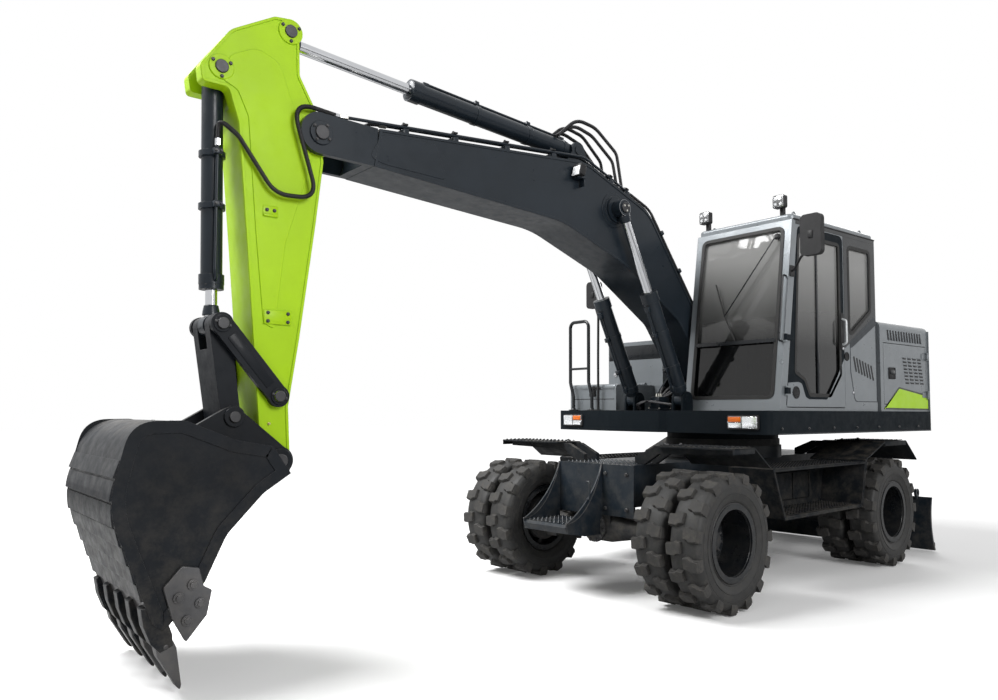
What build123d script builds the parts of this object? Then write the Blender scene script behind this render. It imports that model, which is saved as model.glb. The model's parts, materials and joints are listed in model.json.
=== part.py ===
from build123d import *
import os
from math import atan2, cos, degrees, hypot, pi, radians, sin

# A wheeled excavator of about 15 t. Millimetres, +Z up, +X forward along the boom, +Y to the cab side.
# The origin is on the ground under the slew centre. The house stands square to the axes, and the
# chassis under it is turned by chassis_turn about the slew axis, as the machine is parked.
os.makedirs("parts", exist_ok=True)

chassis_turn = 3.5
pin_fit = 0.05              # radial running clearance of a pin in its bore
side_gap = 8.0              # sideways room between a moving piece and its fork
joint_gap = 6.0             # room round lids and doors


def save(piece, label, turn=0.0):
    """Label a finished piece and write it, turned about the slew axis when it belongs to the chassis."""
    solid = piece.part.rotate(Axis.Z, turn) if turn else piece.part
    solid.label = label
    export_step(solid, f"parts/{label}.step")


def across(y):
    """Plane at a given y, drawn in x and z; extruding both ways thickens it along y."""
    return Plane.XZ.offset(-y)


def polar(centre, radius, angle):
    """Point in the x-z plane at a radius and an angle in degrees from a centre."""
    return (centre[0] + radius * cos(radians(angle)), centre[1] + radius * sin(radians(angle)))


def tangent_side(start, r_start, end, r_end, side):
    """The two ends of the outer tangent of two circles, on the left (side=1) or right (side=-1)."""
    dx, dz = end[0] - start[0], end[1] - start[1]
    length = hypot(dx, dz)
    lean = degrees(atan2(dz, dx)) + side * (90 - degrees(asin_safe((r_end - r_start) / length)))
    return polar(start, r_start, lean), polar(end, r_end, lean)


def asin_safe(value):
    return atan2(value, (1 - value * value) ** 0.5)


# Tyres and wheels
tyre_radius = 512.0
tyre_width = 255.0
bead_radius = 256.0
tyre_shoulder = 60.0
twin_spacing = 310.0
outer_tyre_y = 1120.0
inner_tyre_y = outer_tyre_y - twin_spacing
twin_mid_y = outer_tyre_y - twin_spacing / 2
rim_wall = 12.0
rim_width = 200.0
rim_flange_height = 30.0
disc_thickness = 12.0
hub_radius = 150.0
hub_start_y = 905.0
hub_cap_radius = 115.0
hub_cap_end_y = 1062.0
stub_radius = 40.0
hand_hole_radius = 26.0
hand_hole_circle = 196.0
hand_hole_count = 8

# Axles and steering
front_axle_x = 1770.0
rear_axle_x = -1030.0
axle_z = tyre_radius
kingpin_y = 620.0
kingpin_radius = 30.0
knuckle_radius = 60.0
knuckle_height = 190.0
yoke_plate = 38.0
brake_radius = 190.0
brake_start_y = 702.0
brake_end_y = 898.0
axle_tube_radius = 80.0
diff_radius = 126.0
rear_diff_radius = 180.0

# Chassis
beam_half_width = 380.0
beam_bottom = 700.0
beam_top = 1035.0
beam_front = 1880.0
beam_rear = -1750.0
end_plate = 20.0
end_half_width = 410.0
end_bottom = 620.0
tower_radius = 560.0
tower_top = 1150.0
race_outer = 545.0
race_inner = 450.0
race_height = 60.0
race_gap = 0.3
washer = 3.0

with BuildPart() as chassis_frame:
    with BuildSketch(across(0)):
        with BuildLine():
            Polyline(
                (beam_rear, beam_top), (beam_front, beam_top), (beam_front, beam_bottom),
                (beam_rear + 260, beam_bottom), (beam_rear, beam_bottom + 90), close=True)
        make_face()
    extrude(amount=beam_half_width, both=True)
    with BuildSketch(Plane.YZ.offset(beam_front)):
        with Locations((0, (beam_top + end_bottom) / 2)):
            Rectangle(2 * end_half_width, beam_top - end_bottom)
    extrude(amount=end_plate)
    with BuildSketch(Plane.XY.offset(beam_top)):
        Circle(tower_radius)
    extrude(amount=tower_top - beam_top)
    with BuildSketch(Plane.XY.offset(tower_top)):
        Circle(race_inner - 30)
    extrude(amount=-200, mode=Mode.SUBTRACT)
    # cross beams that carry the side boxes
    with BuildSketch(across(0)):
        with Locations((-300, 850), (740, 850)):
            Rectangle(150, 120)
    extrude(amount=760, both=True)
    # brackets of the blade arms, behind the rear axle
    for y in (-345, -235, 235, 345):
        with BuildSketch(across(y)):
            with BuildLine():
                Polyline((-1560, 720), (-1340, 720), (-1385, 440), (-1515, 440), close=True)
            make_face()
        extrude(amount=12, both=True)
    # brackets and pins of the blade cylinders, on the sides of the beam
    for side in (1, -1):
        for y in (406, 494):
            with BuildSketch(across(side * y)):
                with BuildLine():
                    Polyline((-1580, 1062), (-1410, 1062), (-1440, 930), (-1530, 930), (-1580, 1040), close=True)
                make_face()
            extrude(amount=6, both=True)
        with BuildSketch(Plane.XY.offset(1044)):
            with Locations((-1495, side * 435)):
                Rectangle(170, 130)
        extrude(amount=18)
        with BuildSketch(across(side * 390)):
            with Locations((-1495, 1000)):
                Rectangle(110, 124)
        extrude(amount=20, both=True)
        with BuildSketch(across(side * 450)):
            with Locations((-1500, 985)):
                Circle(22)
        extrude(amount=56, both=True)

save(chassis_frame, "chassis_frame", chassis_turn)

with BuildPart() as slew_ring:
    with BuildSketch(Plane.XY.offset(tower_top)):
        Circle(race_outer)
        Circle(race_inner, mode=Mode.SUBTRACT)
    extrude(amount=race_height)

save(slew_ring, "slew_ring", chassis_turn)

# Front step: two curved cheeks with a tread between them, on the end plate
step_right = -end_half_width
step_left = 82.0
cheek = 12.0
step_nose_x = 2330.0
step_z = 580.0
face_x = beam_front + end_plate

with BuildPart() as front_step:
    for y in (step_right + cheek / 2, step_left - cheek / 2):
        with BuildSketch(across(y)):
            with BuildLine():
                Polyline((step_nose_x, step_z), (step_nose_x - 20, 500), (2110, 465), (face_x, 465), (face_x, beam_top))
                ThreePointArc((face_x, beam_top), (2095, 740), (step_nose_x, step_z))
            make_face()
        extrude(amount=cheek / 2, both=True)
    with BuildSketch(across((step_right + step_left) / 2)):
        with BuildLine():
            Polyline(
                (face_x, step_z - 10), (step_nose_x - 25, step_z - 10), (step_nose_x, step_z - 30),
                (step_nose_x - 20, 500), (step_nose_x - 40, 500), (step_nose_x - 30, step_z - 34), (face_x, step_z - 34),
                close=True)
        make_face()
    extrude(amount=(step_left - step_right) / 2 - cheek, both=True)

save(front_step, "front_step", chassis_turn)

# Axles
yoke_low = axle_z - knuckle_height / 2 - 2 * washer
yoke_high = axle_z + knuckle_height / 2 + 2 * washer

with BuildPart() as front_axle:
    with BuildSketch(Plane.XZ.offset(560)):
        with Locations((front_axle_x, axle_z)):
            Circle(axle_tube_radius)
    extrude(amount=-1120)
    with BuildSketch(Plane.XY.offset(axle_z)):
        with BuildLine():
            Polyline(
                (front_axle_x, -330), (front_axle_x + axle_tube_radius, -330), (front_axle_x + diff_radius, -90),
                (front_axle_x + diff_radius, 90), (front_axle_x + axle_tube_radius, 330), (front_axle_x, 330), close=True)
        make_face()
    revolve(axis=Axis((front_axle_x, 0, axle_z), (0, 1, 0)))
    with BuildSketch(Plane.XY.offset(axle_z)):
        with Locations((front_axle_x, 0)):
            Rectangle(220, 300)
    extrude(amount=beam_bottom - axle_z)
    for side in (1, -1):
        for low in (yoke_low - yoke_plate, yoke_high):
            with BuildSketch(Plane.XY.offset(low)):
                with Locations((front_axle_x, side * (kingpin_y - 40))):
                    Rectangle(110, 130)
                with Locations((front_axle_x, side * kingpin_y)):
                    Circle(55)
            extrude(amount=yoke_plate)
        with BuildSketch(Plane.XZ.offset(-side * 530)):
            with Locations((front_axle_x, axle_z)):
                Rectangle(110, knuckle_height + 2 * yoke_plate)
        extrude(amount=14, both=True)
        with BuildSketch(Plane.XY.offset(yoke_low - yoke_plate)):
            with Locations((front_axle_x, side * kingpin_y)):
                Circle(kingpin_radius)
        extrude(amount=yoke_high + 2 * yoke_plate - yoke_low)
    # steering cylinder fixed behind the axle tube
    with BuildSketch(Plane.XZ.offset(260)):
        with Locations((front_axle_x - axle_tube_radius - 60, axle_z + 95)):
            Circle(42)
    extrude(amount=-520)
    with BuildSketch(Plane.XY.offset(axle_z + 20)):
        with Locations((front_axle_x - axle_tube_radius - 20, -220), (front_axle_x - axle_tube_radius - 20, 220)):
            Rectangle(120, 60)
    extrude(amount=100)

save(front_axle, "front_axle", chassis_turn)

with BuildPart() as rear_axle:
    with BuildSketch(Plane.XZ.offset(brake_start_y)):
        with Locations((rear_axle_x, axle_z)):
            Circle(axle_tube_radius + 12)
    extrude(amount=-2 * brake_start_y)
    with BuildSketch(Plane.XY.offset(axle_z)):
        with BuildLine():
            Polyline(
                (rear_axle_x, -360), (rear_axle_x + axle_tube_radius, -360), (rear_axle_x + rear_diff_radius, -100),
                (rear_axle_x + rear_diff_radius, 100), (rear_axle_x + axle_tube_radius, 360), (rear_axle_x, 360), close=True)
        make_face()
    revolve(axis=Axis((rear_axle_x, 0, axle_z), (0, 1, 0)))
    for side in (1, -1):
        with BuildSketch(Plane.XY.offset(axle_z)):
            with Locations((rear_axle_x, side * 300)):
                Rectangle(220, 140)
        extrude(amount=beam_bottom - axle_z)
        with BuildSketch(Plane.XZ.offset(-side * (brake_start_y + brake_end_y) / 2)):
            with Locations((rear_axle_x, axle_z)):
                Circle(brake_radius)
        extrude(amount=(brake_end_y - brake_start_y) / 2, both=True)
        with BuildSketch(Plane.XZ.offset(-side * (brake_end_y + 50))):
            with Locations((rear_axle_x, axle_z)):
                Circle(stub_radius)
        extrude(amount=50, both=True)

save(rear_axle, "rear_axle", chassis_turn)

for name, side in (("left", 1), ("right", -1)):
    with BuildPart() as knuckle:
        with BuildSketch(Plane.XY.offset(axle_z - knuckle_height / 2)):
            with Locations((front_axle_x, side * kingpin_y)):
                Circle(knuckle_radius - 6)
        extrude(amount=knuckle_height)
        with BuildSketch(Plane.XZ.offset(-side * (kingpin_y + brake_start_y) / 2)):
            with Locations((front_axle_x, axle_z)):
                Circle(50)
        extrude(amount=(brake_start_y - kingpin_y) / 2, both=True)
        with BuildSketch(Plane.XZ.offset(-side * (brake_start_y + brake_end_y) / 2)):
            with Locations((front_axle_x, axle_z)):
                Circle(brake_radius)
        extrude(amount=(brake_end_y - brake_start_y) / 2, both=True)
        with BuildSketch(Plane.XZ.offset(-side * (brake_end_y + 50))):
            with Locations((front_axle_x, axle_z)):
                Circle(stub_radius)
        extrude(amount=50, both=True)
        with BuildSketch(Plane.XY.offset(axle_z - knuckle_height)):
            with Locations((front_axle_x, side * kingpin_y)):
                Circle(kingpin_radius + pin_fit)
        extrude(amount=2 * knuckle_height, mode=Mode.SUBTRACT)
    save(knuckle, f"steering_knuckle_{name}", chassis_turn)

# Wheels: twin tyres on twin rims that are clamped together on one hub
wheel_places = (("front_left", front_axle_x, 1), ("front_right", front_axle_x, -1),
                ("rear_left", rear_axle_x, 1), ("rear_right", rear_axle_x, -1))

for name, wheel_x, side in wheel_places:
    wheel_axis = Axis((wheel_x, 0, axle_z), (0, 1, 0))
    with BuildPart() as tyres:
        for tyre_y in (inner_tyre_y, outer_tyre_y):
            half = tyre_width / 2
            with BuildSketch(Plane.XY.offset(axle_z)):
                with BuildLine():
                    Polyline(
                        (wheel_x + bead_radius + 0.3, side * tyre_y - rim_width / 2 + 0.3),
                        (wheel_x + bead_radius + rim_flange_height + 4, side * tyre_y - rim_width / 2 + 0.3),
                        (wheel_x + bead_radius + rim_flange_height + 50, side * tyre_y - half),
                        (wheel_x + tyre_radius - tyre_shoulder, side * tyre_y - half),
                        (wheel_x + tyre_radius - 8, side * tyre_y - half + 25),
                        (wheel_x + tyre_radius, side * tyre_y - half + 60),
                        (wheel_x + tyre_radius, side * tyre_y + half - 60),
                        (wheel_x + tyre_radius - 8, side * tyre_y + half - 25),
                        (wheel_x + tyre_radius - tyre_shoulder, side * tyre_y + half),
                        (wheel_x + bead_radius + rim_flange_height + 50, side * tyre_y + half),
                        (wheel_x + bead_radius + rim_flange_height + 4, side * tyre_y + rim_width / 2 - 0.3),
                        (wheel_x + bead_radius + 0.3, side * tyre_y + rim_width / 2 - 0.3),
                        close=True)
                make_face()
            revolve(axis=wheel_axis)
    save(tyres, f"tyres_{name}", chassis_turn)

    with BuildPart() as rims:
        for tyre_y in (inner_tyre_y, outer_tyre_y):
            with BuildSketch(Plane.XY.offset(axle_z)):
                with BuildLine():
                    Polyline(
                        (wheel_x + bead_radius, side * tyre_y - rim_width / 2),
                        (wheel_x + bead_radius + rim_flange_height, side * tyre_y - rim_width / 2 - 2),
                        (wheel_x + bead_radius + rim_flange_height, side * tyre_y - rim_width / 2 - 12),
                        (wheel_x + bead_radius - rim_wall, side * tyre_y - rim_width / 2 - 12),
                        (wheel_x + bead_radius - rim_wall, side * tyre_y + rim_width / 2 + 12),
                        (wheel_x + bead_radius + rim_flange_height, side * tyre_y + rim_width / 2 + 12),
                        (wheel_x + bead_radius + rim_flange_height, side * tyre_y + rim_width / 2 + 2),
                        (wheel_x + bead_radius, side * tyre_y + rim_width / 2),
                        close=True)
                make_face()
            revolve(axis=wheel_axis)
        with BuildSketch(Plane.XZ.offset(-side * twin_mid_y)):
            with Locations((wheel_x, axle_z)):
                Circle(bead_radius - rim_wall / 2)
        extrude(amount=disc_thickness, both=True)
        with BuildSketch(Plane.XZ.offset(-side * twin_mid_y)):
            with Locations((wheel_x, axle_z)):
                Circle(bead_radius)
                Circle(bead_radius - rim_wall, mode=Mode.SUBTRACT)
        extrude(amount=(twin_spacing - rim_width) / 2, both=True)
        with BuildSketch(Plane.XZ.offset(-side * twin_mid_y)):
            with Locations((wheel_x, axle_z)):
                with PolarLocations(hand_hole_circle, hand_hole_count):
                    Circle(hand_hole_radius)
        extrude(amount=disc_thickness, both=True, mode=Mode.SUBTRACT)
        with BuildSketch(Plane.XZ.offset(-side * (hub_start_y + twin_mid_y) / 2)):
            with Locations((wheel_x, axle_z)):
                Circle(hub_radius)
        extrude(amount=(twin_mid_y - hub_start_y) / 2, both=True)
        with BuildSketch(Plane.XZ.offset(-side * (hub_cap_end_y + twin_mid_y) / 2)):
            with Locations((wheel_x, axle_z)):
                Circle(hub_cap_radius)
        extrude(amount=(hub_cap_end_y - twin_mid_y) / 2, both=True)
        with BuildSketch(Plane.XZ.offset(-side * (hub_start_y + 50))):
            with Locations((wheel_x, axle_z)):
                Circle(stub_radius + pin_fit)
        extrude(amount=50 + washer, both=True, mode=Mode.SUBTRACT)
    save(rims, f"rims_{name}", chassis_turn)

# Driveline under the chassis beam
with BuildPart() as drive_line:
    with BuildSketch(Plane.XY.offset(beam_bottom)):
        with Locations((60, 0)):
            Rectangle(380, 340)
    extrude(amount=-240)
    for start, end in ((250, front_axle_x - diff_radius - 1), (-130, rear_axle_x + rear_diff_radius + 1)):
        with BuildSketch(Plane.YZ.offset(start)):
            with Locations((0, axle_z)):
                Circle(34)
        extrude(amount=end - start)

save(drive_line, "drive_line", chassis_turn)

# Open step boxes on both sides, with their treads
box_outer_y = 1170.0
box_inner_y = 760.0
box_wall = 22.0
box_top = 1010.0
box_bottom = 600.0

with BuildPart() as side_boxes:
    for side in (1, -1):
        with BuildSketch(across(side * (box_outer_y + box_inner_y) / 2)):
            with BuildLine():
                Polyline((-590, box_top), (1100, box_top), (930, box_bottom), (-490, box_bottom), close=True)
            make_face()
        extrude(amount=(box_outer_y - box_inner_y) / 2, both=True)
        with BuildSketch(across(side * (box_outer_y + 20))):
            with BuildLine():
                Polyline((-590, box_top), (1100, box_top), (930, box_bottom), (-490, box_bottom), close=True)
            make_face()
            offset(amount=-box_wall, kind=Kind.INTERSECTION, mode=Mode.REPLACE)
        extrude(amount=side * (box_outer_y + 20 - box_inner_y - 10), mode=Mode.SUBTRACT)

save(side_boxes, "side_boxes", chassis_turn)

# Fenders on brackets that stand on the chassis beam
fender = 12.0
fender_outer_y = 1250.0
front_fender = ((1800, 1195), (1500, 1195), (1285, 1045))
rear_fender = ((-385, 1030), (-830, 1189), (-1324, 1189), (-1577, 1000))
fender_parts = (("front_fenders", front_fender, 530.0, (1540.0, 1700.0)), ("rear_fenders", rear_fender, 720.0, (-1200.0, -940.0)))

for name, line, inner_y, bracket_places in fender_parts:
    with BuildPart() as fenders:
        for side in (1, -1):
            with BuildSketch(across(side * (fender_outer_y + inner_y) / 2)):
                with BuildLine():
                    Polyline(*line, *[(x, z - fender) for x, z in reversed(line)], close=True)
                make_face()
            extrude(amount=(fender_outer_y - inner_y) / 2, both=True)
            for bracket_x in bracket_places:
                top = max(z for x, z in line) - fender
                with BuildSketch(Plane.YZ.offset(bracket_x)):
                    with BuildLine():
                        Polyline(
                            (side * 280, beam_top), (side * 370, beam_top), (side * 520, top - 55), (side * 1200, top - 40),
                            (side * 1200, top), (side * 470, top), (side * 280, beam_top + 60), close=True)
                    make_face()
                extrude(amount=20, both=True)
    save(fenders, name, chassis_turn)

# Blade at the rear: mouldboard, arms and lugs in one welded piece
blade_half = 1200.0
blade_pivot = (-1450.0, 480.0)
blade_lug = (-2060.0, 650.0)
blade_cyl_foot = (-1500.0, 985.0)
blade_arm_y = 290.0
blade_cyl_y = 450.0
blade_eye_half = 30.0

with BuildPart() as blade:
    with BuildSketch(across(0)):
        with BuildLine():
            Line((-2075, 572), (-2102, 572))
            ThreePointArc((-2102, 572), (-2070, 290), (-2160, 14))
            Line((-2160, 14), (-2128, 14))
            ThreePointArc((-2128, 14), (-2040, 290), (-2075, 572))
        make_face()
    extrude(amount=blade_half, both=True)
    with BuildSketch(across(0)):
        with BuildLine():
            Polyline((-2066, 470), (-1985, 430), (-1985, 250), (-2048, 200), close=True)
        make_face()
    extrude(amount=900, both=True)
    for side in (1, -1):
        with BuildSketch(across(side * blade_arm_y)):
            with BuildLine():
                Polyline((-2040, 470), (-2040, 300), (-1450, 425), (-1450, 535), close=True)
            make_face()
            with Locations(blade_pivot):
                Circle(55)
        extrude(amount=34, both=True)
        with BuildSketch(across(side * blade_arm_y)):
            with Locations(blade_pivot):
                Circle(25 + pin_fit)
        extrude(amount=40, both=True, mode=Mode.SUBTRACT)
        for lug_y in (side * blade_cyl_y - 45, side * blade_cyl_y + 45):
            with BuildSketch(across(lug_y)):
                with BuildLine():
                    Polyline((-2100, 640), (-2020, 660), (-1985, 430), (-2062, 430), (-2076, 560), (-2100, 572), close=True)
                make_face()
                with Locations(blade_lug):
                    Circle(42)
            extrude(amount=6, both=True)
            with BuildSketch(across(lug_y)):
                with Locations(blade_lug):
                    Circle(22)
            extrude(amount=9, both=True)
        # tie-down eye on top of the blade
        with BuildSketch(across(side * 1050)):
            with Locations((-2080, 610)):
                Circle(45)
            with Locations((-2080, 575)):
                Rectangle(50, 60)
            with Locations((-2080, 612)):
                Circle(20, mode=Mode.SUBTRACT)
        extrude(amount=12, both=True)

save(blade, "blade", chassis_turn)

with BuildPart() as blade_pins:
    for side in (1, -1):
        with BuildSketch(across(side * blade_arm_y)):
            with Locations(blade_pivot):
                Circle(25)
        extrude(amount=43, both=True)

save(blade_pins, "blade_pins", chassis_turn)


piston_length = 40.0


def hydraulic_cylinder(foot, eye, ys, bore, wall, gland_at, piston_at, rod, foot_half, eye_half, foot_pin, eye_pin, caps=True):
    """Barrels and rods of a cylinder, or of a pair of them, from the foot pin to the rod's eye."""
    length = hypot(eye[0] - foot[0], eye[1] - foot[1])
    along = ((eye[0] - foot[0]) / length, 0, (eye[1] - foot[1]) / length)
    outer = bore + wall
    with BuildPart() as barrels:
        for y in ys:
            plane = Plane(origin=(foot[0], y, foot[1]), x_dir=along, z_dir=(0, -1, 0))
            with BuildSketch(plane):
                with BuildLine():
                    Polyline(
                        (foot_pin + 50, 0), (foot_pin + 50, outer), (gland_at - 70, outer), (gland_at - 70, outer + 9),
                        (gland_at, outer + 9), (gland_at, rod + pin_fit), (gland_at - 62, rod + pin_fit),
                        (gland_at - 62, bore), (foot_pin + 62, bore), (foot_pin + 62, 0), close=True)
                make_face()
            revolve(axis=Axis((foot[0], y, foot[1]), along))
            with BuildSketch(plane):
                Circle(foot_pin + 28)
                with Locations(((foot_pin + 50) / 2, 0)):
                    Rectangle(foot_pin + 50, 2 * foot_pin + 10)
            extrude(amount=foot_half, both=True)
            with BuildSketch(plane):
                Circle(foot_pin + pin_fit)
            extrude(amount=foot_half + 1, both=True, mode=Mode.SUBTRACT)
    with BuildPart() as rods:
        for y in ys:
            plane = Plane(origin=(foot[0], y, foot[1]), x_dir=along, z_dir=(0, -1, 0))
            with BuildSketch(plane):
                with BuildLine():
                    Polyline(
                        (piston_at, 0), (piston_at, bore - 1), (piston_at + piston_length, bore - 1), (piston_at + piston_length, rod),
                        (length - eye_pin, rod), (length - eye_pin, 0), close=True)
                make_face()
            revolve(axis=Axis((foot[0], y, foot[1]), along))
            with BuildSketch(plane):
                with Locations((length, 0)):
                    Circle(eye_pin + 30)
            extrude(amount=eye_half, both=True)
    return barrels, rods


hinge_pin = 8.0
hinge_barrel = 14.0
hinge_length = 50.0
hinge_stand = 16.0
leaf = 6.0


# Revolving frame of the house
deck_top = 1475.0
deck_plate = 20.0
skirt_bottom = 1283.0
skirt_wall = 14.0
boom_foot = (430.0, 1880.0)
boom_foot_radius = 125.0
boom_half_width = 200.0
foot_half_width = 194.0
foot_bracket = 22.0
foot_bracket_y = foot_half_width + side_gap + foot_bracket / 2
lift_foot = (960.0, 1575.0)
lift_eye = (1735.0, 3175.0)
lift_y = 283.0
lift_eye_half = 42.0
lift_bracket = 16.0
lift_pin = 38.0

with BuildPart() as revolving_frame:
    with BuildSketch(Plane.XY.offset(skirt_bottom)):
        with Locations((-330, 0)):
            Rectangle(2720, 900)
        with Locations((-1350, 0), (-500, 0), (480, 0)):
            Rectangle(140, 2 * (1240 - skirt_wall))
    extrude(amount=17)
    with BuildSketch(Plane.XY.offset(tower_top + race_height + race_gap)):
        Circle(race_outer - 12)
        Circle(race_inner, mode=Mode.SUBTRACT)
    extrude(amount=skirt_bottom - tower_top - race_height - race_gap)
    with BuildSketch(Plane.XY.offset(skirt_bottom)):
        Circle(race_inner - 60)
    extrude(amount=17, mode=Mode.SUBTRACT)
    for side in (1, -1):
        # boom foot plates
        with BuildSketch(across(side * foot_bracket_y)):
            with BuildLine():
                Polyline(
                    (-700, skirt_bottom + 17), (1028, skirt_bottom + 17), (1028, 1440), (900, 1440), (540, 1820),
                    (330, 1800), (-100, deck_top - deck_plate), (-700, deck_top - deck_plate), close=True)
            make_face()
            with Locations(boom_foot):
                Circle(boom_foot_radius)
        extrude(amount=foot_bracket / 2, both=True)
        # feet of the boom cylinders
        for fork_y in (lift_y - lift_eye_half - side_gap / 2 - lift_bracket / 2, lift_y + lift_eye_half + side_gap / 2 + lift_bracket / 2):
            with BuildSketch(across(side * fork_y)):
                with BuildLine():
                    Polyline((890, skirt_bottom + 17), (1040, skirt_bottom + 17), (1030, lift_foot[1]), (890, lift_foot[1]), close=True)
                make_face()
                with Locations(lift_foot):
                    Circle(70)
            extrude(amount=lift_bracket / 2, both=True)
    # pins of the boom foot and of the boom cylinders
    with BuildSketch(across(0)):
        with Locations(boom_foot):
            Circle(45)
    extrude(amount=foot_bracket_y + foot_bracket, both=True)
    for side in (1, -1):
        with BuildSketch(across(side * lift_y)):
            with Locations(lift_foot):
                Circle(lift_pin)
        extrude(amount=lift_eye_half + side_gap + lift_bracket, both=True)

save(revolving_frame, "revolving_frame")

# Deck with its skirt all round, open below
deck_outline = ((1090, 1240), (1090, 215), (1140, 160), (1150, -430), (1062, -1240), (-1790, -1240), (-1790, 1240))
deck_corner = (70, 0, 0, 0, 70, 0, 0)

with BuildPart() as deck:
    with BuildSketch(Plane.XY.offset(skirt_bottom)):
        with BuildLine():
            FilletPolyline(*deck_outline, radius=deck_corner, close=True)
        make_face()
    extrude(amount=deck_top - skirt_bottom)
    with BuildSketch(Plane.XY.offset(skirt_bottom)):
        with BuildLine():
            FilletPolyline(*deck_outline, radius=deck_corner, close=True)
        make_face()
        offset(amount=-skirt_wall, kind=Kind.INTERSECTION, mode=Mode.REPLACE)
    extrude(amount=deck_top - deck_plate - skirt_bottom, mode=Mode.SUBTRACT)
    with BuildSketch(Plane.XY.offset(deck_top)):
        with Locations((350, 0)):
            Rectangle(1420, 2 * (lift_y + 80))
    extrude(amount=-deck_plate, mode=Mode.SUBTRACT)

save(deck, "deck")

# Counterweight
tail_x = -2140.0
weight_front = -1790.0
weight_top = 2290.0

with BuildPart() as counterweight:
    with BuildSketch(Plane.XY.offset(skirt_bottom)):
        with BuildLine():
            Polyline((tail_x + 120, -1130), (weight_front, -1240), (weight_front, 1240), (tail_x + 120, 1130))
            ThreePointArc((tail_x + 120, 1130), (tail_x, 0), (tail_x + 120, -1130))
        make_face()
    extrude(amount=weight_top - skirt_bottom)
    fillet(counterweight.faces().sort_by(Axis.Z)[-1].edges().sort_by(Axis.X)[0], 40)

save(counterweight, "counterweight")

# Engine hood: walls with the openings of its lid and its side door
hood_front = -790.0
hood_rear = -1788.0
hood_half = 1225.0
hood_top = 2330.0
hood_wall = 25.0
lid_front = -840.0
lid_rear = -1740.0
lid_half = 1080.0
door_front_x = -850.0
door_rear_x = -1740.0
door_low = 1540.0
door_high = 2130.0
door_hinge_zs = (1640.0, 2030.0)
lid_hinge_ys = (-700.0, 700.0)

with BuildPart() as hood:
    with BuildSketch(Plane.XY.offset(deck_top)):
        with Locations(((hood_front + hood_rear) / 2, 0)):
            Rectangle(hood_front - hood_rear, 2 * hood_half)
    extrude(amount=hood_top - deck_top)
    fillet(hood.edges().filter_by(Axis.X).group_by(Axis.Z)[-1], 60)
    with BuildSketch(Plane.XY.offset(deck_top)):
        with Locations(((hood_front + hood_rear) / 2, 0)):
            Rectangle(hood_front - hood_rear - 2 * hood_wall, 2 * (hood_half - hood_wall))
    extrude(amount=hood_top - deck_top - hood_wall, mode=Mode.SUBTRACT)
    with BuildSketch(Plane.XY.offset(hood_top)):
        with Locations(((lid_front + lid_rear) / 2, 0)):
            Rectangle(lid_front - lid_rear, 2 * lid_half)
    extrude(amount=-2 * hood_wall, mode=Mode.SUBTRACT)
    with BuildSketch(across(hood_half)):
        with Locations(((door_front_x + door_rear_x) / 2, (door_low + door_high) / 2)):
            Rectangle(door_front_x - door_rear_x, door_high - door_low)
    extrude(amount=2 * hood_wall, mode=Mode.SUBTRACT)
    # hinge pins of the side door and of the lid, each between two lugs
    for z in door_hinge_zs:
        for end in (-1, 1):
            with BuildSketch(Plane.XY.offset(z + end * (hinge_length / 2 + 9))):
                with Locations((door_rear_x - 5, hood_half + hinge_stand / 2)):
                    Rectangle(2 * hinge_barrel, hinge_stand)
                with Locations((door_rear_x - 5, hood_half + hinge_stand)):
                    Circle(hinge_barrel)
            extrude(amount=6, both=True)
        with BuildSketch(Plane.XY.offset(z)):
            with Locations((door_rear_x - 5, hood_half + hinge_stand)):
                Circle(hinge_pin)
        extrude(amount=hinge_length / 2 + 10, both=True)
    for y in lid_hinge_ys:
        for end in (-1, 1):
            with BuildSketch(across(y + end * (hinge_length / 2 + 9))):
                with Locations((lid_front + 10, hood_top + hinge_stand / 2)):
                    Rectangle(2 * hinge_barrel - 10, hinge_stand)
                with Locations((lid_front + 5, hood_top + hinge_stand)):
                    Circle(hinge_barrel)
            extrude(amount=6, both=True)
        with BuildSketch(across(y)):
            with Locations((lid_front + 5, hood_top + hinge_stand)):
                Circle(hinge_pin)
        extrude(amount=hinge_length / 2 + 10, both=True)

save(hood, "hood")

with BuildPart() as hood_lid:
    with BuildSketch(Plane.XY.offset(hood_top - hood_wall)):
        with Locations(((lid_front + lid_rear) / 2, 0)):
            Rectangle(lid_front - lid_rear - 2 * joint_gap, 2 * (lid_half - joint_gap))
    extrude(amount=hood_wall)
    for y in lid_hinge_ys:
        with BuildSketch(across(y)):
            with Locations((lid_front + 5, hood_top + hinge_stand)):
                Circle(hinge_barrel)
            with Locations((lid_front - 45, hood_top + 0.3 + leaf / 2)):
                Rectangle(100, leaf)
            with Locations((lid_front - 60, hood_top + leaf / 2)):
                Rectangle(70, leaf)
        extrude(amount=hinge_length / 2, both=True)
        with BuildSketch(across(y)):
            with Locations((lid_front + 5, hood_top + hinge_stand)):
                Circle(hinge_pin + pin_fit)
        extrude(amount=hinge_length / 2 + 1, both=True, mode=Mode.SUBTRACT)

save(hood_lid, "hood_lid")

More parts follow.
